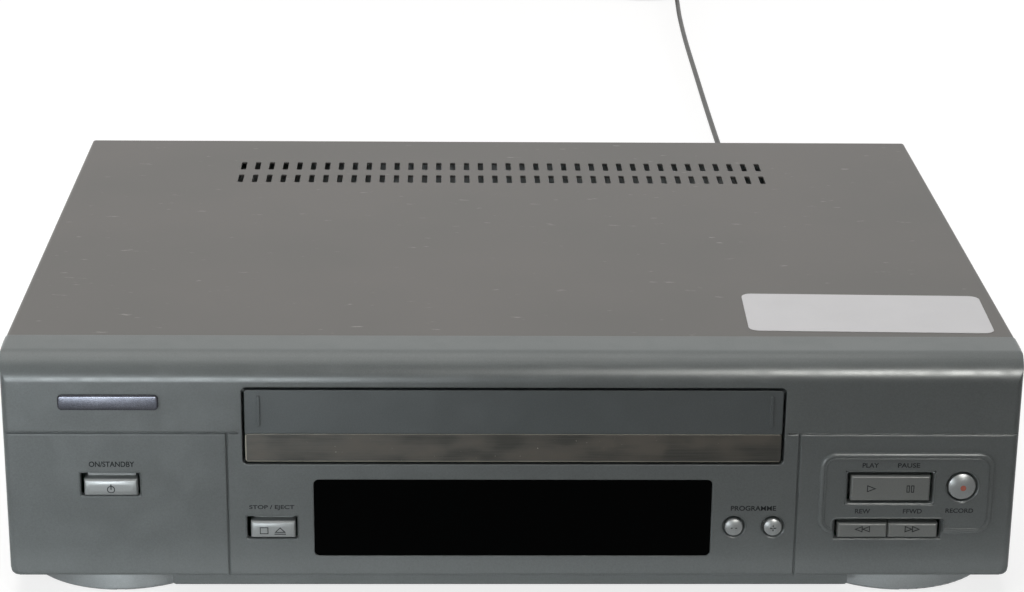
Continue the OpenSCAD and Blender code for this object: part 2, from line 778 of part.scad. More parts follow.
module lower_drum() {
  color("#c3c6c8") from_face() {
    difference() {
      on_drum() union() {
        cylinder(r = drum_r, h = 17, $fn = 96);
        translate([0, 0, -3]) cylinder(r = drum_r - 1, h = 5);
        cylinder(r = 3, h = 31);
      }
      on_drum() rotate_extrude() translate([9, 12]) square([16, 6]);
      block(-60, 60, 120, 260, 0, deck_top);
    }
    // Cast base with its three ears
    difference() {
      slab(deck_top, deck_top + 2.4) {
        translate(drum_at) circle(r = 34);
        for (a = [90, 235, 305]) translate(drum_at) rotate(a) soft_rect(20, 40, -5, 5, 4);
      }
      for (a = [90, 235, 305]) translate(drum_at) rotate([0, 0, a]) translate([36, 0, 20])
        cylinder(r = 1.6, h = 12);
    }
  }
}

module upper_drum() {
  color("#d2d4d6") from_face() on_drum() difference() {
    union() {
      translate([0, 0, 17.3]) cylinder(r = drum_r, h = 11.5, $fn = 96);
      translate([0, 0, 28]) cylinder(r = 12, h = 4.5);
    }
    translate([0, 0, 16]) cylinder(r = 3 + run, h = 20);
    // Well inside the rim, and the windows of the two heads
    translate([0, 0, 26]) rotate_extrude() translate([13, 0]) square([14, 4]);
    for (a = [0, 180]) rotate([0, 0, a]) translate([drum_r - 3, -3, 17]) cube([4, 6, 3]);
    for (a = [45:90:315]) rotate([0, 0, a]) translate([20, 0, 20]) cylinder(r = 2.2, h = 8);
  }
}

// Turned steel pins riveted to the deck: three tape posts, and the shafts of the reels, the pinch
// arm and, below the deck, the clutch pulley
module fixed_posts() {
  color("#dcdee0") from_face() {
    for (p = [[-66, 153], [-56, 184], [56.5, 187]]) {
      post(4, deck_top, deck_top + 3, p[0], p[1]);
      post(2.2, deck_top, 52, p[0], p[1]);
      for (z = [30, 49.5]) post(3.6, z, z + 2.5, p[0], p[1]);
    }
    for (s = [-1, 1]) post(1.5, deck_top + boss_h, deck_top + 15, s * reel_gap / 2, reel_u);
    post(2, deck_top, deck_top + 14, pinch_pivot[0], pinch_pivot[1]);
    post(1.5, pulley_z, deck_z, clutch_at[0], clutch_at[1]);
  }
}

// Magnetic head block on its base, with a curved face towards the tape
module head_block(x, u, w, face) {
  translate([x, u, 0]) {
    translate([-w / 2 - 2, -7, deck_top]) cube([w + 4, 14, 3]);
    intersection() {
      translate([-w / 2, -6, deck_top + 3]) cube([w, 12, 20]);
      translate([0, face * 6, deck_top + 3]) cylinder(r = 12, h = 20);
    }
  }
}

module erase_head() {
  color("#565a5c") from_face() head_block(-62, 172, 10, 1);
}

module audio_head() {
  color("#565a5c") from_face() head_block(64, 176, 12, 1);
}

module loading_motor() {
  color("#8f9496") from_face() {
    block(-96, -72, 188, 200, deck_top, 31);
    rod_y(11, 170, 200, -84, 42);
    rod_y(1.5, 199, 222, -84, 42);
    // Worm turned on the motor's shaft, and its bearing bracket
    for (i = [0:5]) rod_y(3.6, 203 + 2.4 * i, 204.4 + 2.4 * i, -84, 42);
    rod_y(2.6, 202, 218, -84, 42);
    block(-88, -80, 220, 223, deck_top, 46);
  }
}

module capstan_stator() {
  color("#3f6d4c") from_face() difference() {
    union() {
      slab(20.4, 21.6) soft_rect(34, 90, 130, 184, 6);
      post(8, 21.6, deck_z, capstan_at[0], capstan_at[1]);
      for (a = [0:60:300]) translate([capstan_at[0], capstan_at[1], 19]) rotate([0, 0, a])
        translate([9, -4, 0]) cube([10, 8, 1.4]);
    }
    post(3, 10, 30, capstan_at[0], capstan_at[1]);
  }
}

module capstan() {
  color("#c8cbcd") from_face() {
    difference() {
      post(24, 14, 18.4, capstan_at[0], capstan_at[1]);
      translate([capstan_at[0], capstan_at[1], 16.4]) rotate_extrude() translate([6, 0])
        square([16, 3]);
    }
    post(capstan_r, 9.8, 54, capstan_at[0], capstan_at[1]);
    // Belt pulley under the rotor
    post(pulley_small + 1, 12.2, 14, capstan_at[0], capstan_at[1]);
    post(pulley_small, pulley_z, 12.2, capstan_at[0], capstan_at[1]);
  }
}

module belt_line(grow) {
  hull() {
    translate(capstan_at) circle(r = pulley_small + grow, $fn = 32);
    translate(clutch_at) circle(r = pulley_big + grow, $fn = 64);
  }
}

module drive_belt() {
  color("#1b1b1c") from_face() slab(pulley_z + 0.3, pulley_z + 1.7) difference() {
    belt_line(1.3);
    belt_line(0.3);
  }
}

module clutch_pulley() {
  color("#e2e0d6") from_face() difference() {
    union() {
      post(pulley_big, pulley_z, 12.2, clutch_at[0], clutch_at[1]);
      post(pulley_big + 1, 12.2, 13.4, clutch_at[0], clutch_at[1]);
      post(8, 13, 22.4, clutch_at[0], clutch_at[1]);
    }
    post(1.5 + run, pulley_z - 1, 24, clutch_at[0], clutch_at[1]);
    for (a = [0:60:300]) translate([clutch_at[0], clutch_at[1], 0]) rotate([0, 0, a])
      translate([11.5, 0, 9]) cylinder(r = 2, h = 6);
  }
}

module cassette_door() {
  x0 = bay_left + door_gap + 0.1;
  x1 = bay_right - door_gap - 0.1;
  color("#767d7d") from_face() {
    difference() {
      union() {
        plate(door_front, door_front + door_t)
          soft_rect(x0, x1, bay_z0 + door_gap, bay_z1 - door_gap - 0.2, 1.2);
        // Short raised ribs at the ends of the upper part
        for (x = [-95.9, 96.1]) plate(door_front - 0.5, door_front + 0.5)
          soft_rect(x, x + 1.2, 69.2, 81.4, 0.5);
        // Hinge ears
        for (x = [x0, x1 - 4]) {
          block(x, x + 4, 2, hinge_u, hinge_z - 2, hinge_z + 0.9);
          rod_x(2, x, x + 4, hinge_u, hinge_z);
        }
      }
      // Seat of the metal strip
      plate(door_front - 1, door_front + 1) soft_rect(x0 - 1, x1 + 1, bay_z0, band_z, 0.2);
    }
    rod_x(pin_r, x0 - pin_l, x0 + 1, hinge_u, hinge_z);
    rod_x(pin_r, x1 - 1, x1 + 5, hinge_u, hinge_z);
  }
}

module door_trim_strip() {
  x0 = bay_left + door_gap + 0.1;
  x1 = bay_right - door_gap - 0.1;
  color("#4b4a46") from_face()
    plate(door_front - 0.1, door_front + 1)
      soft_rect(x0, x1, bay_z0 + door_gap, band_z - 0.05, 1.1);
}

// Tube swept along points, with rings square to the path; every face is a triangle
function unit(v) = v / norm(v);
function tangent(p, i) = unit(p[min(i + 1, len(p) - 1)] - p[max(i - 1, 0)]);
function ring(p, i, r, n) =
  let (t = tangent(p, i), side = unit(cross(t, [0, 0, 1])), up = cross(side, t))
  [for (k = [0:n - 1]) p[i] + r * (cos(360 * (k + 0.5) / n) * side + sin(360 * (k + 0.5) / n) * up)];

module tube(p, r, n) {
  rings = len(p);
  points = [for (i = [0:rings - 1]) each ring(p, i, r, n)];
  walls = [for (i = [0:rings - 2], k = [0:n - 1])
           let (a = i * n + k, b = i * n + (k + 1) % n)
           each [[a, b, b + n], [a, b + n, a + n]]];
  ends = [for (k = [1:n - 2]) each [[0, k + 1, k],
          [(rings - 1) * n, (rings - 1) * n + k, (rings - 1) * n + k + 1]]];
  polyhedron(points, concat(walls, ends), convexity = 10);
}

// Torsion spring round the door's left pin
spring_turns = 4;
spring_x = bay_left - 8.2;
spring_path = [for (i = [0:spring_turns * 16])
               [spring_x + 0.9 * i / 16, hinge_u + 2.3 * cos(360 * i / 16),
                hinge_z + 2.3 * sin(360 * i / 16)]];

// The rings of this one stand square to X, because its path turns about X
function spring_ring(i, r, n) =
  let (a = 360 * i / 16, out = [0, cos(a), sin(a)], side = [1, 0, 0])
  [for (k = [0:n - 1]) spring_path[i] + r * (cos(360 * k / n) * side + sin(360 * k / n) * out)];

module door_spring() {
  n = 6;
  rings = len(spring_path);
  points = [for (i = [0:rings - 1]) each spring_ring(i, 0.35, n)];
  walls = [for (i = [0:rings - 2], k = [0:n - 1])
           let (a = i * n + k, b = i * n + (k + 1) % n)
           each [[a, b + n, b], [a, a + n, b + n]]];
  ends = [for (k = [1:n - 2]) each [[0, k, k + 1],
          [(rings - 1) * n, (rings - 1) * n + k + 1, (rings - 1) * n + k]]];
  color("#b0b2b4") from_face() polyhedron(points, concat(walls, ends), convexity = 10);
}

// Sliding shoe: carries the tray's pins in an upright slot, and rides in the side plate's rail
module feed_shoe(s) {
  x0 = s > 0 ? shoe_x0 : -shoe_x0 - shoe_t;
  difference() {
    prism(x0, x0 + shoe_t) soft_rect(46, 72, 38, 82.5, 3);
    prism(x0 - 1, x0 + 4) rotate(90)
      round_slot(tray_pins_z[0] - drop - 0.2, tray_pins_z[1] + 0.2, -tray_pin_u, slide_pin_r + run);
  }
  for (u = shoe_pins_u)
    rod_x(slide_pin_r, s > 0 ? side_x0 - 1 : -side_x0 - 1.2, s > 0 ? side_x0 + 1.2 : -side_x0 + 1,
          u, rail_z);
}

module feed_shoes() {
  color("#e4e2d8") from_face() for (s = [-1, 1]) feed_shoe(s);
}

module cassette_tray() {
  color("#9fa4a6") from_face() {
    difference() {
      union() {
        block(-tray_half, tray_half, tray_u0, tray_u0 + tray_l, tray_top, tray_top + tray_sheet);
        for (s = [-tray_half, tray_half - tray_sheet])
          block(s, s + tray_sheet, tray_u0, tray_u0 + tray_l, ledge_z - tray_sheet,
                tray_top + tray_sheet);
        for (s = [-tray_half, 82])
          block(s, s + 15, tray_u0, tray_u0 + tray_l, ledge_z - tray_sheet, ledge_z);
        for (s = [-tray_half, 82])
          block(s, s + 15, tray_u0 + tray_l - tray_sheet, tray_u0 + tray_l, ledge_z, ledge_z + 9);
      }
      // Two leaf springs cut free on three sides, and a window between them
      slab(tray_top - 1, tray_top + 3) {
        for (x = [-60, 52]) {
          soft_rect(x - 2, x, 40, 74, 0.8);
          soft_rect(x + 8, x + 10, 40, 74, 0.8);
          soft_rect(x - 2, x + 10, 72, 74, 0.8);
        }
        soft_rect(-30, 30, 46, 72, 4);
      }
    }
    for (z = tray_pins_z) {
      rod_x(slide_pin_r, -shoe_x0 - shoe_t + 0.2, -tray_half + 0.5, tray_pin_u, z);
      rod_x(slide_pin_r, tray_half - 0.5, shoe_x0 + shoe_t - 0.2, tray_pin_u, z);
    }
  }
}

// Reel table: a braked rim with a splined spindle
module reel_table(x) {
  color("#dedcd2") from_face() translate([x, reel_u, deck_top + 0.8]) difference() {
    union() {
      cylinder(r = 16, h = 3.5);
      translate([0, 0, 3]) cylinder(r = 9, h = 3);
      translate([0, 0, 5.5]) cylinder(r = 4.2, h = 10);
      translate([0, 0, 15.5]) cylinder(r1 = 4.2, r2 = 2.6, h = 2.5);
      for (a = [0:60:300]) rotate([0, 0, a]) translate([3, -0.7, 5.5]) cube([2.2, 1.4, 8]);
    }
    translate([0, 0, -1]) cylinder(r = 1.5 + run, h = 20);
    translate([0, 0, -0.1]) rotate_extrude() translate([10, 0]) square([4, 1.6]);
  }
}

module supply_reel_table() {
  reel_table(-reel_gap / 2);
}

module takeup_reel_table() {
  reel_table(reel_gap / 2);
}

module pinch_arm() {
  color("#a3a7aa") from_face() {
    difference() {
      union() {
        slab(deck_top + 3.2, deck_top + 5) hull() {
          translate(pinch_pivot) circle(r = 4.6, $fn = 32);
          translate(pinch_park) circle(r = 3.4, $fn = 32);
        }
        post(4.4, deck_top + 0.6, deck_top + 12, pinch_pivot[0], pinch_pivot[1]);
      }
      post(2 + run, deck_top - 1, deck_top + 16, pinch_pivot[0], pinch_pivot[1]);
    }
    post(1.4, deck_top + 4, deck_top + 25, pinch_park[0], pinch_park[1]);
  }
}

module pinch_roller() {
  color("#202022") from_face() difference() {
    post(pinch_r, deck_top + 7, deck_top + 23, pinch_park[0], pinch_park[1]);
    post(1.4 + run, deck_top + 5, deck_top + 25, pinch_park[0], pinch_park[1]);
  }
}

// Roller post and slant post on a foot that runs in the deck's arc slot
module tape_guide(s) {
  x = s * guide_park[0];
  u = guide_park[1];
  color("#cfd2d4") from_face() {
    slab(deck_top + 0.3, deck_top + 3) soft_rect(x - 5.5, x + 5.5, u - 5.5, u + 5.5, 3);
    post(2.3, deck_z - 0.4, deck_top + 0.4, x, u);
    post(4, deck_z - 1.8, deck_z - 0.3, x, u);
    post(1.2, deck_top + 2, 56, x, u);
    post(3, 32, 52, x, u);
    for (z = [30, 52]) post(3.8, z, z + 2, x, u);
  }
}

module tape_guide_left() {
  tape_guide(-1);
}

module tape_guide_right() {
  tape_guide(1);
}

// Oblong cap with bevelled front edges, a flange taller than its hole and a stem to its switch
module push_cap(cap, hole, front) {
  plate(front + 0.9, 7) soft_rect(cap[0], cap[1], cap[2], cap[3], 0.5);
  dish(cap, front, front + 1, -0.8, 0);
  block(cap[0] + 1, cap[1] - 1, fascia_wall + 0.9, fascia_wall + 1.9, hole[2] - 0.9, hole[3] + 0.9);
  c = middle(cap);
  block(c[0] - 1.5, c[0] + 1.5, 6, switch_u - press - 0.1, c[1] - 1.5, c[1] + 1.5);
}

module power_button() {
  color("#b9bcbb") from_face() push_cap(power_cap, power_hole, -cap_proud + 0.6);
}

module stop_eject_button() {
  color("#b9bcbb") from_face() push_cap(stop_cap, stop_hole, -cap_proud + 0.6);
}

module rewind_button() {
  color("#b9bcbb") from_face() push_cap(rewind_cap, wind_hole, -cap_proud);
}

module fast_forward_button() {
  color("#b9bcbb") from_face() push_cap(forward_cap, wind_hole, -cap_proud);
}

module play_pause_button() {
  color("#b9bcbb") from_face() {
    plate(-cap_proud + 0.9, 7.4) soft_rect(play_cap[0], play_cap[1], play_cap[2], play_cap[3], 0.5);
    dish(play_cap, -cap_proud, -cap_proud + 1, -0.8, 0);
    for (s = [-9, 9]) block(rocker_at[0] + s - 1.5, rocker_at[0] + s + 1.5, 7, switch_u - 0.7,
                            middle(play_cap)[1] - 1.5, middle(play_cap)[1] + 1.5);
    post(pin_r, play_cap[2] - 4.4, play_cap[3] + 4.4, rocker_at[0], rocker_at[1]);
  }
}

// Round cap with a domed front, a flange behind the wall and a stem
module round_cap(x, z, r, front) {
  translate([x, 0, z]) rotate([-90, 0, 0]) {
    rotate_extrude() intersection() {
      translate([0, front]) square([r, 7 - front]);
      translate([0, front + 2.2 * r]) circle(r = 2.2 * r, $fn = 96);
    }
    translate([0, 0, fascia_wall + 0.9]) cylinder(r = r + 1.3, h = 1);
    translate([0, 0, 6]) cylinder(r = 1.6, h = switch_u - press - 0.1 - 6);
  }
}

module record_button() {
  color("#c4c6c5") from_face() round_cap(record_at[0], record_at[1], record_r, -front_proud);
}

module programme_down_button() {
  color("#c4c6c5") from_face() round_cap(programme_x[0], programme_z, programme_r, -cap_proud);
}

module programme_up_button() {
  color("#c4c6c5") from_face() round_cap(programme_x[1], programme_z, programme_r, -cap_proud);
}

// Tapered bush moulded round the lead where it leaves the back panel
module strain_relief() {
  color("#1a1a1b") from_face() translate([lead_at[0], panel_u, lead_at[1]]) rotate([-90, 0, 0])
    difference() {
      union() {
        translate([0, 0, sheet]) cylinder(r = 6.4, h = 2);
        translate([0, 0, -3]) cylinder(r = 4.5, h = 5);
        translate([0, 0, -4.6]) cylinder(r = 6, h = 1.6 + 2.9);
        translate([0, 0, sheet + 1.5]) cylinder(r1 = 4.4, r2 = 2.3, h = relief_l - 0.5);
      }
      translate([0, 0, -0.1]) rotate_extrude() translate([4.5, 0]) square([4, 1.2]);
      for (i = [0:4]) translate([0, 0, 6 + 4.4 * i]) rotate_extrude()
        translate([3.7 - 0.3 * i, 0]) square([3, 1.4]);
    }
}

// Smooth curve through the route's points
function bend(a, b, c, d, t) =
  0.5 * (2 * b + (c - a) * t + (2 * a - 5 * b + 4 * c - d) * t * t + (3 * b - a - 3 * c + d) * t * t * t);
function lengths(p) = [for (i = 0, s = 0; i < len(p); i = i + 1,
                       s = s + (i < len(p) ? norm(p[i] - p[i - 1]) : 0)) s];
function leg(sums, s, i = 0) = i >= len(sums) - 2 || s < sums[i + 1] ? i : leg(sums, s, i + 1);
function at_length(p, sums, s) =
  let (n = len(p) - 1, i = leg(sums, s), t = (s - sums[i]) / (sums[i + 1] - sums[i]))
  bend(p[max(i - 1, 0)], p[i], p[i + 1], p[min(i + 2, n)], t);

route_sums = lengths(route);
route_length = route_sums[len(route) - 1];
cord_path = [for (i = [0:cord_rings - 1])
             at_length(route, route_sums, route_length * i / (cord_rings - 1))];

// The coil spirals in on its lower layer and out on the upper one, and climbs in the half turn
// where it turns round
half_turns = (coil_turns - 0.5) / 2;
function coil_radius(t) = coil_outer - coil_pitch * min(t, coil_turns - t);
function coil_height(t) = let (c = (t - half_turns) * 2)
  coil_at[2] + coil_pitch * (c < 0 ? 0 : c > 1 ? 1 : (1 - cos(180 * c)) / 2);
coil_path = concat(
  [for (i = [0:coil_turns * loop_rings]) let (t = i / loop_rings)
   [coil_at[0] + coil_radius(t) * cos(360 * t), coil_at[1] + coil_radius(t) * sin(360 * t),
    coil_height(t)]],
  [for (u = [3, 8, 13, coil_tail]) [coil_at[0] + coil_outer, coil_at[1] + u,
                                coil_height(coil_turns)]]);
function sum_steps(p) = lengths(p)[len(p) - 1];
coil_gap = min([for (i = [0:len(coil_path) - 1], j = [i + 8:1:len(coil_path) - 1])
                norm(coil_path[i] - coil_path[j])]) - cord_d;
echo(coil_gap = coil_gap, cord_length = sum_steps(cord_path) + sum_steps(coil_path));

module mains_cord() {
  color("#232325") from_face() tube(cord_path, cord_r, cord_sides);
}

module cord_coil() {
  color("#232325") from_face() tube(coil_path, cord_r, coil_sides);
}

// Band round the bundle of turns, on the coil's left side
module cord_tie() {
  x0 = coil_at[0] - coil_radius(0.5) - cord_r - 0.4;
  x1 = coil_at[0] - coil_radius(coil_turns / 2) + cord_r + 0.4;
  z1 = coil_height(coil_turns) + cord_r + 0.4;
  color("#3a3a3c") from_face() translate([0, coil_at[1], 0]) plate(-3, 3) difference() {
    soft_rect(x0 - 1, x1 + 1, 0.1, z1 + 1, 1.6);
    soft_rect(x0, x1, 1.1, z1, 1);
  }
}

// Two-pin mains plug lying flat, its outline narrowing towards the lead
module plug_body() {
  px = coil_at[0] + coil_outer;
  color("#232325") from_face() translate([px, plug_u, 0]) difference() {
    intersection() {
      slab(0.1, 2 * plug_z - 0.1)
        polygon([[-5, 0], [5, 0], [7, 12], [17.6, 26], [17.6, 40], [-17.6, 40], [-17.6, 26],
                 [-7, 12]]);
      prism(-20, 20)
        polygon([[0, 2], [4, 0.1], [38, 0.1], [40, 1], [40, 13], [38, 13.9], [4, 13.9], [0, 12]]);
    }
    for (s = [-9.3, 9.3]) rod_y(2, 34, 41, s, plug_z);
  }
}

module plug_pins() {
  px = coil_at[0] + coil_outer;
  color("#b9b08c") from_face() translate([px, plug_u, 0])
    for (s = [-9.3, 9.3]) {
      rod_y(1.98, 34.1, 57.5, s, plug_z);
      translate([s, 57.5, plug_z]) rotate([-90, 0, 0]) cylinder(r1 = 1.98, r2 = 1.2, h = 1.5);
    }
}

front_fascia();
display_window();
display_tube();
front_board();
top_cover();
bottom_pan();
rear_panel();
front_feet();
rear_feet();
foot_pads();
screws();
main_board();
board_parts();
tuner_module();
scart_socket_1();
scart_socket_2();
audio_jacks();
power_board();
power_transformer();
heat_sink();
power_capacitors();
deck_plate();
carriage_side_left();
carriage_side_right();
carriage_bridge();
lower_drum();
fixed_posts();
erase_head();
audio_head();
loading_motor();
capstan_stator();
drive_belt();
door_spring();
cassette_door();
door_trim_strip();
feed_shoes();
cassette_tray();
upper_drum();
capstan();
supply_reel_table();
takeup_reel_table();
pinch_arm();
pinch_roller();
clutch_pulley();
tape_guide_left();
tape_guide_right();
power_button();
stop_eject_button();
play_pause_button();
rewind_button();
fast_forward_button();
record_button();
programme_down_button();
programme_up_button();
strain_relief();
mains_cord();
cord_coil();
cord_tie();
plug_body();
plug_pins();
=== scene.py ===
import math

import bmesh
import bpy
from mathutils import Matrix, Vector
from mathutils.bvhtree import BVHTree


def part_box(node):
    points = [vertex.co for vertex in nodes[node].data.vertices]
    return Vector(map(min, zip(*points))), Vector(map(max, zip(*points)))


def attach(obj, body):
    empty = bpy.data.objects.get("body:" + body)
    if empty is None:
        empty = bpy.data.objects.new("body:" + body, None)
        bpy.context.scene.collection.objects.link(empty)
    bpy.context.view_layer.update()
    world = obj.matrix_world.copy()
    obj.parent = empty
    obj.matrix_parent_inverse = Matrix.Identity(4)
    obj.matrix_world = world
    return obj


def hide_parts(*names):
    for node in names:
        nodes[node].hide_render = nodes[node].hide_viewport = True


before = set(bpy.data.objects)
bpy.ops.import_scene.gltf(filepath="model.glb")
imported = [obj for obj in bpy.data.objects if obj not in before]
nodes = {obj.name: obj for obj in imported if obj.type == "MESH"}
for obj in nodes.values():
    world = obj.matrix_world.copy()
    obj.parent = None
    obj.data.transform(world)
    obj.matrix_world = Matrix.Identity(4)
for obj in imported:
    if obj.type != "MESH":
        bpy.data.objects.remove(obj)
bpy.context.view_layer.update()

# Camera
# A long lens in front of the recorder, a little to its left and well above it, looking down on it.
# The recorder is measured in millimetres as (x, depth behind the flat face, height).
face_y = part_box("display_window")[0].y - 0.0003
PITCH = math.radians(19.651)
YAW = math.radians(1.525)
ROLL = math.radians(0.664)


def at(x, depth, z):
    """A place on the recorder, from millimetres, in the frame's metres"""
    return Vector((x / 1000, face_y + depth / 1000, z / 1000))


forward = Vector((math.sin(YAW) * math.cos(PITCH), math.cos(YAW) * math.cos(PITCH),
                  -math.sin(PITCH)))
level_right = Vector((math.cos(YAW), -math.sin(YAW), 0))
level_up = level_right.cross(forward)
right = math.cos(ROLL) * level_right + math.sin(ROLL) * level_up
up = math.cos(ROLL) * level_up - math.sin(ROLL) * level_right

camera = bpy.data.objects.new("camera", bpy.data.cameras.new("camera"))
camera.data.lens = 93.36
camera.data.sensor_width = 36
camera.data.sensor_fit = "HORIZONTAL"
camera.location = at(-25.6, -918.9, 449.4)
camera.rotation_euler = Matrix((right, up, -forward)).transposed().to_euler()
bpy.context.scene.collection.objects.link(camera)
bpy.context.scene.camera = camera

# Mains lead
# A thin round lead with a PVC sheath, captive in the back panel. It comes down to the table, goes
# straight back, and its unseen end is wound in a coil of seven turns under a strap, with its plug.
CORD_R = 1.6
LIE = 1.7
LIFT = 1.3
ROUTE = [(142, 319, 28), (142, 328, 28), (142, 338, 26.2), (142, 350, 21.2), (141.8, 361, 14.5),
         (141.5, 372, 8.4), (141.2, 383, 4), (141, 395, 2.0), (140.6, 409, LIE), (139.4, 444, LIE),
         (138.4, 494, LIE), (137.6, 554, LIE), (137.4, 614, LIE), (137.6, 684, LIE),
         (138.2, 764, LIE), (139, 854, LIE), (140.6, 924, LIE), (142.6, 969, LIE),
         (143.4, 989, LIE + 0.5), (143.6, 999, LIE + LIFT), (143.6, 1005, LIE + LIFT)]
STEPS = 6
TURNS = 7
COIL_PITCH = 2 * CORD_R + 0.45
COIL_OUTER = 18.4 + COIL_PITCH * TURNS / 4
COIL_AT = (ROUTE[-1][0] - COIL_OUTER, ROUTE[-1][1], ROUTE[-1][2])
LOOP_POINTS = 48
TAIL = (3, 8, 13, 19.5)


def linear(code):
    """A colour written as sRGB hex, in linear light"""
    values = [int(code[i:i + 2], 16) / 255 for i in (1, 3, 5)]
    return [v / 12.92 if v <= 0.04045 else ((v + 0.055) / 1.055) ** 2.4 for v in values] + [1]


def feed(tree, node, inputs):
    """Sets a node's inputs, each from a value, a hex colour, a socket or another node"""
    for name, value in inputs.items():
        if isinstance(value, bpy.types.Node):
            value = value.outputs[2 if value.bl_idname == "ShaderNodeMix" else 0]
        if isinstance(value, bpy.types.NodeSocket):
            tree.links.new(value, node.inputs[name])
        else:
            node.inputs[name].default_value = linear(value) if isinstance(value, str) else value


def add(tree, kind, inputs=None, **settings):
    """Adds a shader node with its settings and links"""
    node = tree.nodes.new("ShaderNode" + kind)
    for name, value in settings.items():
        setattr(node, name, value)
    feed(tree, node, inputs or {})
    return node


def start_finish(name, colour, roughness, metallic=0.0, **inputs):
    """Starts a material: its tree, its shader, and the place on the piece in millimetres"""
    finish = bpy.data.materials.new(name)
    finish.use_nodes = True
    tree = finish.node_tree
    shader = tree.nodes["Principled BSDF"]
    feed(tree, shader, {"Base Color": colour, "Roughness": roughness, "Metallic": metallic})
    feed(tree, shader, {key.replace("_", " "): value for key, value in inputs.items()})
    finish.diffuse_color = linear(colour)
    metres = add(tree, "TexCoord").outputs["Object"]
    place = add(tree, "VectorMath", {0: metres, 1: (1000, 1000, 1000)}, operation="MULTIPLY")
    return finish, tree, shader, place


def roughen(tree, shader, height, depth, strength=1.0, edge=0.0):
    """Gives the surface a height in millimetres, and rounds its sharp edges by a radius"""
    bump = add(tree, "Bump", {"Height": height, "Distance": depth / 1000, "Strength": strength})
    if edge:
        feed(tree, bump, {"Normal": add(tree, "Bevel", {"Radius": edge / 1000}, samples=4)})
    feed(tree, shader, {"Normal": bump})


def moulded(name, colour, shade, roughness, texture=0.6, **inputs):
    """Moulded plastic or rubber: a fine spark-eroded texture, and a faint drift of colour"""
    finish, tree, shader, place = start_finish(name, colour, roughness, **inputs)
    drift = add(tree, "TexNoise", {"Vector": place, "Scale": 1 / 18, "Detail": 3.0})
    drift = add(tree, "MapRange", {"Value": drift, "From Min": 0.3, "From Max": 0.7})
    fine = add(tree, "TexNoise", {"Vector": place, "Scale": 1 / texture, "Detail": 2.0})
    sheen = add(tree, "MapRange", {"Value": fine, "From Min": 0.3, "From Max": 0.7,
                                   "To Min": roughness - 0.06, "To Max": roughness + 0.08})
    feed(tree, shader, {"Base Color": add(tree, "Mix", {0: drift, 6: colour, 7: shade},
                                          data_type="RGBA"), "Roughness": sheen})
    roughen(tree, shader, fine, 0.03, 0.6, 0.3)
    return finish


# PVC sheath: soft, a little shiny along the top, with dust in its fine extrusion lines
sheath = moulded("pvc_sheath", "#2b2b29", "#3a3a36", 0.42, 0.9)
plug_pvc = moulded("pvc_plug", "#242426", "#2e2e30", 0.48, 0.5)


def bend(a, b, c, d, t):
    """A smooth curve from b to c, from four points in turn"""
    return tuple(0.5 * (2 * q + (r - p) * t + (2 * p - 5 * q + 4 * r - s) * t * t
                        + (3 * q - p - 3 * r + s) * t ** 3) for p, q, r, s in zip(a, b, c, d))


lead_points = []
for i in range(len(ROUTE) - 1):
    four = [ROUTE[max(i - 1, 0)], ROUTE[i], ROUTE[i + 1], ROUTE[min(i + 2, len(ROUTE) - 1)]]
    lead_points += [bend(*four, step / STEPS) for step in range(STEPS)]
half_turns = (TURNS - 0.5) / 2
for i in range(TURNS * LOOP_POINTS + 1):
    turn = i / LOOP_POINTS
    climb = min(max((turn - half_turns) * 2, 0), 1)
    radius = COIL_OUTER - COIL_PITCH * min(turn, TURNS - turn)
    angle = 2 * math.pi * turn
    lead_points.append((COIL_AT[0] + radius * math.cos(angle),
                        COIL_AT[1] + radius * math.sin(angle),
                        COIL_AT[2] + COIL_PITCH * (1 - math.cos(math.pi * climb)) / 2))
lead_points += [(COIL_AT[0] + COIL_OUTER, COIL_AT[1] + depth, COIL_AT[2] + COIL_PITCH)
                for depth in TAIL]

lead_curve = bpy.data.curves.new("mains_lead", "CURVE")
lead_curve.dimensions = "3D"
lead_curve.bevel_depth = CORD_R / 1000
lead_curve.bevel_resolution = 3
lead_curve.use_fill_caps = True
lead_line = lead_curve.splines.new("POLY")
lead_line.points.add(len(lead_points) - 1)
for point, place in zip(lead_line.points, lead_points):
    point.co = (*at(*place), 1)
lead_line.use_smooth = True
lead_curve.materials.append(sheath)
lead = bpy.data.objects.new("mains_lead", lead_curve)
bpy.context.scene.collection.objects.link(lead)
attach(lead, "case")
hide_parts("mains_cord", "cord_coil")

TO_FRAME = Matrix.Translation((0, face_y, 0)) @ Matrix.Scale(0.001, 4)


def make_piece(name, mesh, finish, body, node=None, smooth=35):
    """Turns a bmesh in millimetres into a piece that rides on a body, and shades it"""
    bmesh.ops.transform(mesh, matrix=TO_FRAME, verts=mesh.verts)
    data = bpy.data.meshes.new(name)
    mesh.to_mesh(data)
    mesh.free()
    data.materials.append(finish)
    data.shade_smooth()
    data.set_sharp_from_angle(angle=math.radians(smooth))
    made = bpy.data.objects.new(name, data)
    bpy.context.scene.collection.objects.link(made)
    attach(made, body)
    if node:
        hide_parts(node)
    return made


def softened(name, node, finish, body, width, segments=3, angle=40):
    """A copy of a CAD node with its faces merged and its edges rounded by a bevel"""
    mesh = bmesh.new()
    mesh.from_mesh(nodes[node].data)
    bmesh.ops.remove_doubles(mesh, verts=mesh.verts, dist=1e-6)
    flat = math.radians(1)
    bmesh.ops.dissolve_limit(mesh, angle_limit=flat, verts=mesh.verts, edges=mesh.edges)
    bmesh.ops.transform(mesh, matrix=TO_FRAME.inverted(), verts=mesh.verts)
    made = make_piece(name, mesh, finish, body, node)
    rounding = made.modifiers.new("rounding", "BEVEL")
    rounding.width = width / 1000
    rounding.segments = segments
    rounding.limit_method = "ANGLE"
    rounding.angle_limit = math.radians(angle)
    rounding.harden_normals = True
    return made


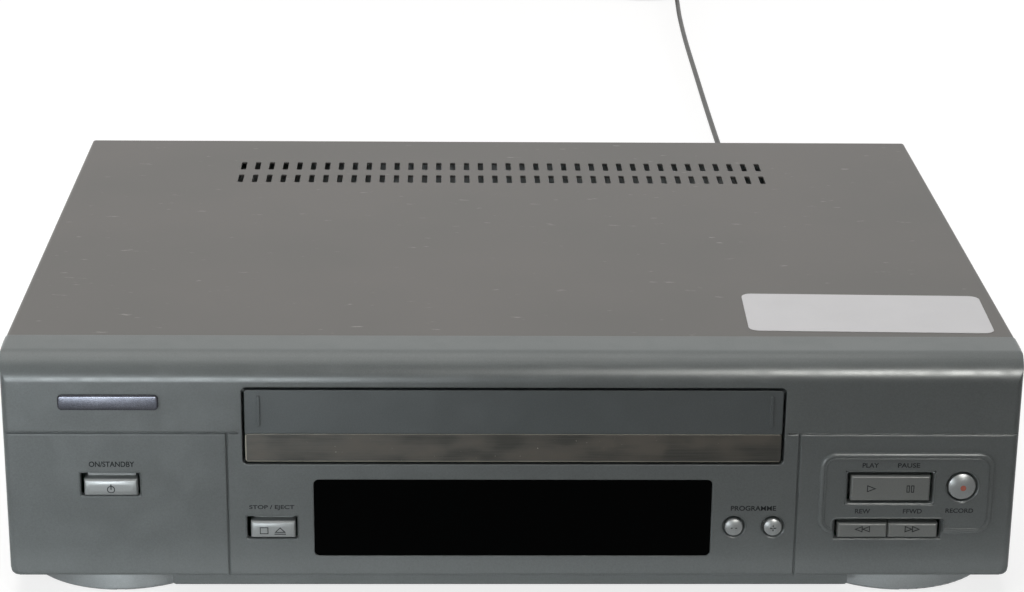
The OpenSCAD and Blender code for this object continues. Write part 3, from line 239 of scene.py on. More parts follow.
relief = softened("lead_sleeve", "strain_relief", plug_pvc, "case", 0.25, 2)
plug = softened("lead_plug", "plug_body", plug_pvc, "case", 1.1, 4)
strap = softened("lead_strap", "cord_tie", sheath, "case", 0.3, 2)


def dress(finish, *names):
    """Gives carried-over CAD nodes a finish"""
    for name in names:
        nodes[name].data.materials.clear()
        nodes[name].data.materials.append(finish)


def metal(name, colour, shade, roughness, patch=6.0, stretch=(1, 1, 1), edge=0.15, scratch=0.25):
    """Bare or plated metal: patches of tone, and fine marks drawn out along the way it was made"""
    finish, tree, shader, place = start_finish(name, colour, roughness, 1.0)
    patches = add(tree, "TexNoise", {"Vector": place, "Scale": 1 / patch, "Detail": 2.0})
    patches = add(tree, "MapRange", {"Value": patches, "From Min": 0.35, "From Max": 0.65})
    drawn = add(tree, "Mapping", {"Vector": place, "Scale": [1 / (scratch * s) for s in stretch]})
    marks = add(tree, "TexNoise", {"Vector": drawn, "Scale": 1.0, "Detail": 4.0})
    sheen = add(tree, "MapRange", {"Value": marks, "From Min": 0.3, "From Max": 0.7,
                                   "To Min": roughness - 0.08, "To Max": roughness + 0.12})
    feed(tree, shader, {"Base Color": add(tree, "Mix", {0: patches, 6: colour, 7: shade},
                                          data_type="RGBA"), "Roughness": sheen})
    roughen(tree, shader, marks, 0.01, 0.6, edge)
    return finish


# Nickel-plated brass pins: warm bright grey, worn smooth
dress(metal("nickel_plated_brass", "#c9c6bd", "#bdb9ae", 0.25, 4), "plug_pins")

# Floor, light and backdrop
# White paper and a white surround under soft lamps: a large one overhead, a small one at the left
# end of the face, a low strip for its foot, and two behind that light matt paint only. Two more are
# seen only in gloss, and draw the bright streaks along the brow.
PAPER_GLOW = 0.775
ROOM_LIGHT = 0.02
world = bpy.data.worlds.new("surround")
bpy.context.scene.world = world
world.use_nodes = True


def for_seen_rays(tree, plain, bright):
    """Gives the eye, gloss and glass a bright surface, and everything else a plain one"""
    rays = add(tree, "LightPath").outputs
    seen = add(tree, "Math", {0: rays["Is Camera Ray"], 1: rays["Is Glossy Ray"]},
               operation="MAXIMUM")
    seen = add(tree, "Math", {0: seen, 1: rays["Is Transmission Ray"]}, operation="MAXIMUM")
    return add(tree, "MixShader", {0: seen, 1: plain, 2: bright})


ground_mesh = bmesh.new()
bmesh.ops.create_grid(ground_mesh, x_segments=1, y_segments=1, size=30)
floor = bpy.data.objects.new("floor", bpy.data.meshes.new("floor"))
ground_mesh.to_mesh(floor.data)
ground_mesh.free()
bpy.context.scene.collection.objects.link(floor)
paper, tree, shader = start_finish("white_paper", "#919191", 0.9)[:3]
unlit = add(tree, "Emission", {"Color": "#000000", "Strength": 0.0})
glow = add(tree, "Emission", {"Color": "#ffffff", "Strength": PAPER_GLOW})
both = add(tree, "AddShader", {0: shader, 1: for_seen_rays(tree, unlit, glow)})
feed(tree, tree.nodes["Material Output"], {"Surface": both})
floor.data.materials.append(paper)
tree = world.node_tree
ambient = tree.nodes["Background"]
feed(tree, ambient, {"Color": "#eef2f6", "Strength": ROOM_LIGHT})
white = add(tree, "Background", {"Color": "#ffffff", "Strength": 1.0})
feed(tree, tree.nodes["World Output"], {"Surface": for_seen_rays(tree, ambient, white)})


def soft_lamp(name, place, aim, width, height, watts, colour, lights="both"):
    """A rectangular soft box at one place, turned towards another, for matt light, gloss or both"""
    data = bpy.data.lights.new(name, "AREA")
    data.shape = "RECTANGLE"
    data.size = width
    data.size_y = height
    data.energy = watts
    data.color = linear(colour)[:3]
    lamp = bpy.data.objects.new(name, data)
    lamp.location = place
    lamp.rotation_euler = (Vector(aim) - Vector(place)).to_track_quat("-Z", "Y").to_euler()
    lamp.visible_camera = False
    lamp.visible_diffuse = lights != "gloss"
    lamp.visible_glossy = lights != "matt"
    bpy.context.scene.collection.objects.link(lamp)


soft_lamp("lamp_above", (-0.2, 0.05, 1.6), (0, 0, 0.1), 1.6, 1.2, 20.5, "#fffdfa")
soft_lamp("lamp_left", (-0.33, -0.31, 0.11), (-0.21, -0.147, 0.05), 0.14, 0.14, 0.17, "#f4fbff")
soft_lamp("lamp_low", (0, face_y - 0.02, 0.001), (0, face_y, 0.01), 0.44, 0.008, 0.023, "#fafdff")
for side in (-1, 1):
    soft_lamp("lamp_behind", (side, 0.75, 0.14), (0, 0.05, 0.05), 0.5, 0.2, 6, "#fffdfa", "matt")
soft_lamp("streak_left", (-0.24, -0.64, 0.04), (-0.17, -0.14, 0.09), 0.3, 0.12, 5.2, "#f4fbff",
          "gloss")
soft_lamp("streak_right", (0.4, -1.17, 0.66), (0.16, -0.14, 0.09), 0.25, 0.32, 26, "#fffdf8",
          "gloss")
bpy.context.scene.view_settings.view_transform = "Standard"

# Bottom pan and feet
# The pan is zinc-plated steel sheet, pressed and folded: bright grey, with faint patches from the
# plating. Four moulded ABS feet clip into it, painted silver, with a rubber pad under each.
zinc = metal("zinc_plated_steel", "#b3b6b7", "#a3a7a9", 0.38, 7)
dress(zinc, "bottom_pan")


def silver_paint(name, colour, shade, roughness, metallic, flake=0.5, edge=0.35, **inputs):
    """Silver paint on plastic. Its flake is too fine to see, and is drawn half a millimetre wide"""
    finish, tree, shader, place = start_finish(name, colour, roughness, metallic, **inputs)
    drift = add(tree, "TexNoise", {"Vector": place, "Scale": 1 / 60, "Detail": 3.0})
    drift = add(tree, "MapRange", {"Value": drift, "From Min": 0.35, "From Max": 0.65})
    tone = add(tree, "Mix", {0: drift, 6: colour, 7: shade}, data_type="RGBA")
    sparkle = add(tree, "TexNoise", {"Vector": place, "Scale": 1 / flake, "Detail": 1.0})
    level = add(tree, "MapRange", {"Value": sparkle, "From Min": 0.25, "From Max": 0.75,
                                   "To Min": 0.93, "To Max": 1.07})
    worn = add(tree, "TexNoise", {"Vector": place, "Scale": 1 / 9, "Detail": 5.0})
    worn = add(tree, "MapRange", {"Value": worn, "From Min": 0.45, "From Max": 0.75,
                                  "To Min": roughness, "To Max": roughness + 0.1})
    feed(tree, shader, {"Base Color": add(tree, "VectorMath", {0: tone, "Scale": level},
                                          operation="SCALE"), "Roughness": worn})
    roughen(tree, shader, sparkle, 0.02, 0.5, edge)
    return finish


foot_paint = silver_paint("silver_painted_foot", "#8d9293", "#878c8d", 0.4, 0.2)
pad_rubber = moulded("foot_pad_rubber", "#232323", "#2f2e2c", 0.8, 0.8)
dress(foot_paint, "front_feet", "rear_feet")
dress(pad_rubber, "foot_pads")


# Circuit boards
# Glass-fibre boards under green lacquer, and a brown paper one in the power supply. Their copper
# tracks show as paler lines, and the white marks are screen-printed. The parts are black epoxy.
def board(name, lacquer, track, silk):
    """Printed board: tracks a few millimetres apart under the lacquer, with white marks over it"""
    finish, tree, shader, place = start_finish(name, lacquer, 0.35, Specular_IOR_Level=0.4)
    tracks = add(tree, "TexBrick", {"Vector": place, "Scale": 0.35, "Mortar Size": 0.03,
                                    "Brick Width": 1.7, "Row Height": 0.45}).outputs["Fac"]
    copper = add(tree, "Mix", {0: tracks, 6: lacquer, 7: track}, data_type="RGBA")
    cells = add(tree, "TexVoronoi", {"Vector": place, "Scale": 0.22}, distance="CHEBYCHEV")
    marks = add(tree, "MapRange", {"Value": cells, "From Min": 0.05, "From Max": 0.06,
                                   "To Min": 1.0, "To Max": 0.0})
    feed(tree, shader, {"Base Color": add(tree, "Mix", {0: marks, 6: copper, 7: silk},
                                          data_type="RGBA")})
    roughen(tree, shader, tracks, 0.05, 0.5)
    return finish


green_board = board("green_lacquered_board", "#2c6a46", "#3f8259", "#d7dbd2")
brown_board = board("brown_paper_board", "#8a6a3c", "#a07c45", "#d9d2c0")
epoxy = moulded("black_epoxy", "#1f2022", "#2a2b2d", 0.5, 0.5)
dress(green_board, "main_board", "front_board", "capstan_stator")
dress(brown_board, "power_board")
dress(epoxy, "board_parts", "power_capacitors")

# Power supply
# A transformer of stacked steel sheets, varnished brown, and a heat sink of extruded aluminium
# whose drawn lines run along its length.
core_steel = metal("varnished_core_steel", "#6d6247", "#5a513c", 0.5, 3, (40, 40, 1))
sink_aluminium = metal("extruded_aluminium", "#a9adaf", "#9b9fa2", 0.42, 9, (1, 1, 40))
dress(core_steel, "power_transformer")
dress(sink_aluminium, "heat_sink")

# Tape deck
# A pressed steel plate carries a turned aluminium drum, ground steel pins, nickel-cased heads, and
# a motor can. The lower drum stands still, and the upper one spins with its heads.
turned = metal("turned_aluminium", "#c6c8ca", "#b9bcbe", 0.3, 12, (30, 30, 1))
ground = metal("ground_steel", "#c2c5c8", "#aeb2b5", 0.25, 5, (20, 20, 1))
head_nickel = metal("nickel_head_case", "#7d8083", "#6c6f72", 0.3, 4)
dress(zinc, "deck_plate")
dress(turned, "lower_drum", "upper_drum")
dress(ground, "fixed_posts", "loading_motor", "capstan", "pinch_arm", "tape_guide_left",
      "tape_guide_right")
dress(head_nickel, "erase_head", "audio_head")

# Reels, pulley and belt
# Moulded white acetal reel tables with three lugs each, a clutch pulley, and moulded rubber for
# the drive belt and the pinch roller's tyre.
acetal = moulded("white_acetal", "#dcdad0", "#d2cfc4", 0.38, 0.8)
soft_rubber = moulded("drive_rubber", "#191919", "#222222", 0.7, 0.5)
dress(acetal, "supply_reel_table", "takeup_reel_table", "clutch_pulley")
dress(soft_rubber, "drive_belt", "pinch_roller")

# Cassette carriage
# Two plated steel side plates and a bridge. The tray slides back and down between them, and acetal
# shoes carry it in their slots.
dress(zinc, "carriage_side_left", "carriage_side_right", "carriage_bridge", "cassette_tray")
dress(acetal, "feed_shoes")

# Back panel and sockets
# Plated sheet again, with a tuner can, two 21-pin sockets in black glass-filled plastic, and phono
# jacks in a pale block.
socket_plastic = moulded("glass_filled_plastic", "#1b1c1e", "#26272a", 0.55, 0.4)
jack_plastic = moulded("jack_block_plastic", "#cfcfca", "#c3c3bd", 0.5, 0.4)
dress(zinc, "rear_panel", "tuner_module")
dress(socket_plastic, "scart_socket_1", "scart_socket_2")
dress(jack_plastic, "audio_jacks")

# Fascia
# One ABS moulding under silver paint, satin and a little blue, with rolled lips round its wells. A
# fine bead follows the inner edge of the raised panel round the transport keys, and a plain bar of
# dark chrome is fixed at the upper left. SKIN is how far the lips stand off the moulding.
RAISED = 0.9
SKIN = 0.03
WELD = 1e-4
PANEL = (116, 182.2, 25.7, 58.9)
fascia_paint = silver_paint("silver_painted_abs", "#7a7f7f", "#767b7b", 0.3, 0.03, edge=0.7,
                            Specular_IOR_Level=0.16)

# Its lower corners are rounder than the rest where the sides draw in, so they are rolled here. The
# cuts, each a first place and a count, give the roll its steps.
CORNER = 2.7
CORNER_AT_COVER = 2.5
CUT_STEP = 0.4
SIDE_CUTS = (186.6, 12)
LOW_CUTS = (8, 8)
FRONT_HALF = 190.2
SLANT = 0.079
LOW_EDGE = 7.8
FASCIA_DEPTH = 24
FRONT_ROLL = 1.2
SIDE_ROLL = 2.1
LOW_ROLL = 0.9
shell = bmesh.new()
shell.from_mesh(nodes["front_fascia"].data)
bmesh.ops.transform(shell, matrix=TO_FRAME.inverted(), verts=shell.verts)
bmesh.ops.remove_doubles(shell, verts=shell.verts, dist=WELD)
cuts = [((side * (SIDE_CUTS[0] + CUT_STEP * i), 0, 0), (1, 0, 0))
        for side in (-1, 1) for i in range(SIDE_CUTS[1])]
cuts += [((0, 0, LOW_CUTS[0] + CUT_STEP * i), (0, 0, 1)) for i in range(LOW_CUTS[1])]
for place, across in cuts:
    bmesh.ops.bisect_plane(shell, geom=shell.verts[:] + shell.edges[:] + shell.faces[:],
                           plane_co=place, plane_no=across)
for vert in shell.verts:
    front = max(1 - vert.co.y / FRONT_ROLL, 0) ** 2
    radius = CORNER - (CORNER - CORNER_AT_COVER) * min(max(vert.co.y, 0) / FASCIA_DEPTH, 1)
    out = abs(vert.co.x) - (FRONT_HALF + SLANT * vert.co.y - SIDE_ROLL * front - radius)
    down = LOW_EDGE + LOW_ROLL * front + radius - vert.co.z
    reach = math.hypot(out, down)
    if out > 0 and down > 0 and reach > radius and vert.co.y < FASCIA_DEPTH + 0.5:
        vert.co.x -= math.copysign(out * (1 - radius / reach), vert.co.x)
        vert.co.z += down * (1 - radius / reach)
bmesh.ops.triangulate(shell, faces=shell.faces)
make_piece("fascia_shell", shell, fascia_paint, "case", "front_fascia",
           smooth=4)


def rounded(x0, x1, z0, z1, radius, steps=6):
    """Corners of a rectangle with rounded corners, in (x, z)"""
    points = []
    for x, z, start in ((x0 + radius, z0 + radius, 270), (x0 + radius, z1 - radius, 180),
                        (x1 - radius, z1 - radius, 90), (x1 - radius, z0 + radius, 0)):
        for step in range(steps + 1):
            angle = math.radians(start - 90 * step / steps)
            points.append((x + radius * math.cos(angle), z + radius * math.sin(angle)))
    return points


def flat_face(mesh, corners, depth):
    """One face through its corners in (x, z), at one depth, that points into the recorder"""
    face = mesh.faces.new([mesh.verts.new((x, depth, z)) for x, z in corners])
    face.normal_update()
    return face


def pull(mesh, faces, distance):
    """Draws faces out along the depth, with new sides, and gives the vertices that moved"""
    made = bmesh.ops.extrude_face_region(mesh, geom=faces)
    moved = [v for v in made["geom"] if isinstance(v, bmesh.types.BMVert)]
    bmesh.ops.translate(mesh, verts=moved, vec=(0, distance, 0))
    return moved


def outline(mesh, corners, depth, width, height):
    """A raised line of one width along the inside of a closed outline"""
    face = flat_face(mesh, corners, depth)
    band = bmesh.ops.inset_individual(mesh, faces=[face], thickness=width, use_even_offset=True)
    bmesh.ops.delete(mesh, geom=[face], context="FACES_ONLY")
    pull(mesh, band["faces"], -height)


def ring(mesh, corners, steps):
    """A closed ring within an outline, through steps of (inset, depth), with a hidden back"""
    face = flat_face(mesh, corners, steps[0][1])
    for (inset0, depth0), (inset1, depth1) in zip(steps, steps[1:]):
        bmesh.ops.inset_individual(mesh, faces=[face], thickness=inset1 - inset0,
                                   depth=depth1 - depth0, use_even_offset=True)
    bmesh.ops.delete(mesh, geom=[face], context="FACES_ONLY")
    bmesh.ops.bridge_loops(mesh, edges=[e for e in mesh.edges if e.is_boundary])


def cut_away(mesh, x0, x1, z1):
    """Takes away what lies between two places and below a height, and closes the ends"""
    for place, across in (((x0, 0, 0), (1, 0, 0)), ((x1, 0, 0), (1, 0, 0)),
                          ((0, 0, z1), (0, 0, 1))):
        bmesh.ops.bisect_plane(mesh, geom=mesh.verts[:] + mesh.edges[:] + mesh.faces[:],
                               plane_co=place, plane_no=across)
    middles = [(f, f.calc_center_median()) for f in mesh.faces]
    bmesh.ops.delete(mesh, geom=[f for f, m in middles if x0 < m.x < x1 and m.z < z1],
                     context="FACES")
    bmesh.ops.holes_fill(mesh, edges=[e for e in mesh.edges if e.is_boundary])


def quarter(width, front, rise, steps=6):
    """Steps of a rounded edge that turns from the face into a hole"""
    return [(0, front + 0.3), (0, front)] + [
        (width * math.sin(math.radians(90 * i / steps)),
         front + rise * (1 - math.cos(math.radians(90 * i / steps)))) for i in range(1, steps + 1)]


# The panel's rolled rim and its bead, cut away where the winding keys' hole opens below them
WIND_HOLE = (122.7, 162.9, 23.7, 31)
RIM_ROLL = 1.2
BEAD = [(0, -0.7), (0, -1.0), (0.12, -1.15), (0.38, -1.15), (0.5, -1.0), (0.5, -0.7)]
BRIM = [(0, -0.7), (0, -1.0), (0.12, -1.12), (0.4, -1.12), (0.52, -1.0), (0.52, -0.7)]
rim = bmesh.new()
turns = [math.radians(15 * i) for i in range(7)]
roll = [(RIM_ROLL - RIM_ROLL * math.cos(turn), -SKIN - RAISED * math.sin(turn)) for turn in turns]
ring(rim, rounded(*PANEL, 6), [(0, 0.1)] + roll + [(1.75, -0.93), (1.85, 0.1)])
ring(rim, rounded(PANEL[0] + 2, PANEL[1] - 2, PANEL[2] + 2, PANEL[3] - 2, 4), BEAD)
cut_away(rim, WIND_HOLE[0] - 1.4, WIND_HOLE[1] + 1.4, 30)
make_piece("panel_rim", rim, fascia_paint, "case", smooth=50)

# Lips that turn into the keys' holes: the oblong holes as (x0, x1, z0, z1, face), and the round
# ones as (x, z, radius, face)
WELLS = [(-162.3, -140.3, 41, 50, 0), (-100.3, -81.4, 23.3, 32.3, 0),
         (126.8, 158.8, 38.9, 50.65, -RAISED)]
ROUND_WELLS = [(170.1, 45.3, 5.8, -RAISED), (84.1, 28.3, 3.98, 0), (99, 28.3, 3.98, 0)]
LIP = 0.65
RAISED_LIP = 1.25
ROUND_LIP = 1.1
ROUND_RISE = 1.25
wells = bmesh.new()
for x0, x1, z0, z1, front in WELLS:
    wide = RAISED_LIP if front else LIP
    ring(wells, rounded(x0 - wide, x1 + wide, z0 - wide, z1 + wide, 0.6 + wide),
         quarter(wide, front - SKIN, wide * 1.45))
brim = bmesh.new()
ring(brim, rounded(WIND_HOLE[0] - 1.7, WIND_HOLE[1] + 1.7, WIND_HOLE[2], WIND_HOLE[3] + 1.7, 2),
     BRIM)
cut_away(brim, WIND_HOLE[0] - 5, WIND_HOLE[1] + 5, PANEL[2] + 2.3)
for x, z, radius, front in ROUND_WELLS:
    lip = [(radius + ROUND_LIP - out, depth)
           for out, depth in quarter(ROUND_LIP, front - SKIN, ROUND_RISE)]
    verts = [wells.verts.new((x + out, depth, z)) for out, depth in lip]
    edges = [wells.edges.new(pair) for pair in zip(verts, verts[1:] + verts[:1])]
    bmesh.ops.spin(wells, geom=verts + edges, cent=(x, 0, z), axis=(0, 1, 0), angle=2 * math.pi,
                   steps=48, use_merge=True)
for name, mesh in (("well_lips", wells), ("wind_brim", brim)):
    bmesh.ops.remove_doubles(mesh, verts=mesh.verts, dist=WELD)
    bmesh.ops.recalc_face_normals(mesh, faces=mesh.faces)
    make_piece(name, mesh, fascia_paint, "case", smooth=50)

# Dark chrome: hard and mirror-like, over moulded plastic
dark_chrome = metal("dark_chrome", "#3d3e43", "#37383d", 0.22, 9)
bar = bmesh.new()
bar_top = pull(bar, [flat_face(bar, rounded(-169.6, -132.2, 75.9, 81.9, 1.6), 0.1)], -1.3)
bmesh.ops.recalc_face_normals(bar, faces=bar.faces)
bar_rim = [e for e in bar.edges if all(v in bar_top for v in e.verts)]
bmesh.ops.bevel(bar, geom=bar_rim, offset=0.7, segments=4, profile=0.5, affect="EDGES",
                material=-1)
make_piece("badge_bar", bar, dark_chrome, "case")

# Cassette door
# A flap of the same painted ABS, hung on two pins behind the fascia, with a wire spring. Its lower
# part carries a strip of smoked, brushed foil with small worn chips, and pale bands along its top,
# bottom and left edges that are a painted highlight.
DOOR = (-100.4, 100.9)
STRIP = (54.8, 66.05)
# Painted shade: the door's paint is the fascia's silver drawn darker, and a little rougher
shaded_door_paint = silver_paint("silver_painted_door_shaded", "#676c6d", "#63696a", 0.34, 0.03, edge=0.5,
                          Specular_IOR_Level=0.14)
dress(shaded_door_paint, "cassette_door")
dress(ground, "door_spring")
foil, tree, shader, place = start_finish("smoked_foil_wear_and_painted_edge_highlight", "#413f3c", 0.4, 0.1,
                                         Specular_IOR_Level=0.2)
drawn = add(tree, "Mapping", {"Vector": place, "Scale": (1 / 21, 1 / 0.35, 1 / 0.35)})
brushed = add(tree, "TexNoise", {"Vector": drawn, "Scale": 1.0, "Detail": 3.0})
lines = add(tree, "MapRange", {"Value": brushed, "From Min": 0.3, "From Max": 0.7})
tone = add(tree, "Mix", {0: lines, 6: "#393934", 7: "#494843"}, data_type="RGBA")
drawn = add(tree, "Mapping", {"Vector": place, "Scale": (1 / 18, 1 / 8, 1 / 8)})
stains = add(tree, "TexNoise", {"Vector": drawn, "Scale": 1.0, "Detail": 4.0})
stains = add(tree, "MapRange", {"Value": stains, "From Min": 0.4, "From Max": 0.66})
tone = add(tree, "Mix", {0: stains, 6: tone, 7: "#4c473f"}, data_type="RGBA")
parts = add(tree, "SeparateXYZ", {0: place}).outputs
# Pale bare metal: small worn chips at random, and painted highlight in bands along the top, bottom
# and left edges
chips_and_edge_highlight = add(tree, "TexNoise", {"Vector": place, "Scale": 1 / 0.8, "Detail": 1.0})
chips_and_edge_highlight = add(tree, "MapRange", {"Value": chips_and_edge_highlight, "From Min": 0.78, "From Max": 0.82})
for part, inner, outer in ((parts[2], STRIP[0] + 0.45, STRIP[0] + 0.25),
                           (parts[2], STRIP[1] - 0.2, STRIP[1] - 0.05),
                           (parts[0], DOOR[0] + 0.6, DOOR[0] + 0.3)):
    edge = add(tree, "MapRange", {"Value": part, "From Min": inner, "From Max": outer})
    chips_and_edge_highlight = add(tree, "Math", {0: chips_and_edge_highlight, 1: edge}, operation="MAXIMUM")
tone = add(tree, "Mix", {0: chips_and_edge_highlight, 6: tone, 7: "#a5a294"}, data_type="RGBA")
sheen = add(tree, "MapRange", {"Value": stains, "To Min": 0.3, "To Max": 0.5})
feed(tree, shader, {"Base Color": tone, "Roughness": sheen})
roughen(tree, shader, brushed, 0.015, 0.6, 0.2)
softened("door_strip", "door_trim_strip", foil, "door", 0.25, 2)

# Display
# A polished near-black acrylic window, with a little dust on it, in front of a glass tube whose
# coating looks grey-green.
acrylic, tree, shader, place = start_finish("smoked_acrylic", "#030404", 0.08,
                                            Specular_IOR_Level=0.01)
dust = add(tree, "TexNoise", {"Vector": place, "Scale": 1 / 0.5, "Detail": 1.0})
dust = add(tree, "MapRange", {"Value": dust, "From Min": 0.76, "From Max": 0.82})
smear = add(tree, "TexNoise", {"Vector": place, "Scale": 1 / 14, "Detail": 3.0})
smear = add(tree, "MapRange", {"Value": smear, "From Min": 0.4, "From Max": 0.7,
                               "To Min": 0.06, "To Max": 0.16})
feed(tree, shader, {"Base Color": add(tree, "Mix", {0: dust, 6: "#030404", 7: "#2c2d2e"},
                                      data_type="RGBA"), "Roughness": smear})
feed(tree, shader, {"Normal": add(tree, "Bevel", {"Radius": 0.0003}, samples=4)})
dress(acrylic, "display_window")
tube_glass = moulded("coated_tube_glass", "#1c2a2c", "#223234", 0.12, 3)
dress(tube_glass, "display_tube")

# Keys
# Moulded caps under silver paint. The long ones have a bevel round a flat face, the power and stop
# caps swell like a cushion, and the round ones are domed. All have stems that reach their switches,
# and all but the play cap have a flange behind the fascia.
FLANGE = (3.4, 4.4)
PROUD = 1.6
STEM = 1.5
ROUND_STEM = 1.6
STEM_END = 11
CHAMFER = 0.75
FALL = 0.8
SWELL_STEPS = 6

# Bright silver paint on the swollen and domed caps, and a darker, duller copy on the flat caps,
# whose darker colour is painted shade
cap_paint = silver_paint("silver_painted_cap", "#9da1a1", "#979b9b", 0.34, 0.08, 0.35, 0.15,
                         Specular_IOR_Level=0.4)
shaded_flat_cap_paint = silver_paint("silver_painted_flat_cap_shaded", "#838684", "#7e817f", 0.36, 0.03, 0.35, 0.15,
                          Specular_IOR_Level=0.3)


def block(mesh, x0, x1, depth0, depth1, z0, z1):
    """A plain block within a piece"""
    size = Matrix.Diagonal((x1 - x0, depth1 - depth0, z1 - z0, 1))
    middle = Matrix.Translation(((x0 + x1) / 2, (depth0 + depth1) / 2, (z0 + z1) / 2))
    bmesh.ops.create_cube(mesh, size=1, matrix=middle @ size)


def oblong_cap(name, body, node, x0, x1, z0, z1, front, stems, swell=0.0, flange=None):
    """A long key cap with a bevelled or swollen front, and a flange between two heights"""
    mesh = bmesh.new()
    block(mesh, x0, x1, front + FALL, 7, z0, z1)
    face = min(mesh.faces, key=lambda f: f.calc_center_median().y)
    bmesh.ops.inset_individual(mesh, faces=[face], thickness=CHAMFER, depth=FALL)
    rims = [e for e in mesh.edges if any(v.co.y < front + 1 for v in e.verts)]
    bmesh.ops.bevel(mesh, geom=rims, offset=0.2, segments=3, profile=0.5, affect="EDGES",
                    material=-1)
    face = min(mesh.faces, key=lambda f: f.calc_center_median().y)
    bmesh.ops.inset_individual(mesh, faces=[face], thickness=0.03)
    reach = (z1 - z0) / 2 - 1.2
    for step in range(SWELL_STEPS if swell else 0):
        rise = ((1 - step / SWELL_STEPS) ** 2 - (1 - (step + 1) / SWELL_STEPS) ** 2) * swell
        bmesh.ops.inset_individual(mesh, faces=[face], thickness=reach / SWELL_STEPS, depth=rise)
    if flange:
        block(mesh, x0 + 1, x1 - 1, *FLANGE, *flange)
    for x in stems:
        block(mesh, x - STEM, x + STEM, 6, STEM_END, (z0 + z1) / 2 - STEM, (z0 + z1) / 2 + STEM)
    return make_piece(name, mesh, cap_paint if swell else shaded_flat_cap_paint, body, node,
                      50)


def round_cap(name, body, node, x, z, radius, front):
    """A domed round key cap, turned from its profile"""
    mesh = bmesh.new()
    dome = 2.2 * radius
    profile = [(out, front + dome - math.sqrt(dome ** 2 - out ** 2))
               for out in [(radius - 0.3) * step / 8 for step in range(9)]]
    edge = profile[-1][1]
    profile += [(radius - 0.08, edge + 0.12), (radius, edge + 0.4), (radius, FLANGE[0]),
                (radius + 1.3, FLANGE[0]), (radius + 1.3, FLANGE[1]), (ROUND_STEM, FLANGE[1]),
                (ROUND_STEM, STEM_END), (0, STEM_END)]
    verts = [mesh.verts.new((x + out, depth, z)) for out, depth in profile]
    edges = [mesh.edges.new(pair) for pair in zip(verts, verts[1:])]
    bmesh.ops.spin(mesh, geom=verts + edges, cent=(x, 0, z), axis=(0, 1, 0), angle=2 * math.pi,
                   steps=48, use_merge=True)
    bmesh.ops.remove_doubles(mesh, verts=mesh.verts, dist=WELD)
    bmesh.ops.recalc_face_normals(mesh, faces=mesh.faces)
    return make_piece(name, mesh, cap_paint, body, node, 40)


power_cap = oblong_cap("power_cap", "power_key", "power_button", -161, -141, 41.35, 47.9, -1.0,
                       [-151], 0.35, (40.1, 50.9))
stop_cap = oblong_cap("stop_cap", "stop_key", "stop_eject_button", -98.9, -82.1, 24, 30.7, -1.0,
                      [-90.5], 0.3, (22.4, 33.2))
rewind_cap = oblong_cap("rewind_cap", "rewind_key", "rewind_button", 123.6, 142.4, 24.4, 30.4,
                        -PROUD, [133], flange=(22.8, 31.9))
forward_cap = oblong_cap("forward_cap", "forward_key", "fast_forward_button", 142.8, 161.7, 24.4,
                         30.4, -PROUD, [152.25], flange=(22.8, 31.9))
play_cap = oblong_cap("play_cap", "play_key", "play_pause_button", 127.75, 157.9, 39.6, 49.9,
                      -PROUD, [134.05, 152.05])
record_cap = round_cap("record_cap", "record_key", "record_button", 170.1, 45.3, 5.2, -2.0)
down_cap = round_cap("programme_down_cap", "programme_down_key", "programme_down_button", 84.1,
                     28.3, 3.4, -PROUD)
up_cap = round_cap("programme_up_cap", "programme_up_key", "programme_up_button", 99, 28.3, 3.4,
                   -PROUD)

# Printing
# Dark grey ink, screen-printed on the silver paint: words over the keys for what each one does,
# and thin outlined signs on the caps, with one red dot for recording.
INK = 0.03
INK_SUNK = 0.01
LINE_WIDTH = 0.3
LINE_HEIGHT = 0.06
FILL_HEIGHT = 0.08
ink = moulded("printing_ink", "#222728", "#282d2e", 0.6, 0.4, Specular_IOR_Level=0.1)
red_ink = moulded("red_printing_ink", "#c2512c", "#b34524", 0.5, 0.4)
LABELS = {
    "label_standby": ("ON/STANDBY", -159, -142, 52.7, 54.9, 0),
    "label_stop": ("STOP / EJECT", -99.4, -82.4, 35, 37.1, 0),
    "label_programme": ("PROGRAMME", 82.8, 100, 34.9, 36.9, 0),
    "label_play": ("PLAY", 131.8, 138, 53.1, 55, -RAISED),
    "label_pause": ("PAUSE", 145.2, 153.6, 53.1, 55, -RAISED),
    "label_rewind": ("REW", 129.9, 135.7, 34.2, 36.1, -RAISED),
    "label_forward": ("FFWD", 148.2, 155.4, 34.2, 36.1, -RAISED),
    "label_record": ("RECORD", 164.4, 175, 34.5, 36.3, -RAISED),
}
for name, (words, x0, x1, z0, z1, depth) in LABELS.items():
    text = bpy.data.curves.new("words", "FONT")
    text.body = words
    text.extrude = 0.01
    text.offset = 0.02
    letters = bpy.data.objects.new("words", text)
    bpy.context.scene.collection.objects.link(letters)
    graph = bpy.context.evaluated_depsgraph_get()
    shape = bpy.data.meshes.new_from_object(letters.evaluated_get(graph))
    bpy.data.objects.remove(letters)
    mesh = bmesh.new()
    mesh.from_mesh(shape)
    left = min(v.co.x for v in mesh.verts)
    low = min(v.co.y for v in mesh.verts)
    wide = max(v.co.x for v in mesh.verts) - left
    tall = max(v.co.y for v in mesh.verts) - low
    for vert in mesh.verts:
        vert.co = (x0 + (vert.co.x - left) / wide * (x1 - x0),
                   depth - INK if vert.co.z > 0 else depth + INK_SUNK,
                   z0 + (vert.co.y - low) / tall * (z1 - z0))
    bmesh.ops.recalc_face_normals(mesh, faces=mesh.faces)
    make_piece(name, mesh, ink, "case")


def oblong(x0, x1, z0, z1):
    """Corners of a plain rectangle, in the same turn as the rounded one"""
    return [(x0, z0), (x0, z1), (x1, z1), (x1, z0)]


def arrow(x0, x1, z0, z1):
    """Corners of a triangle that points from x0 to x1"""
    return [(x0, z0), (x0, z1), (x1, (z0 + z1) / 2)]


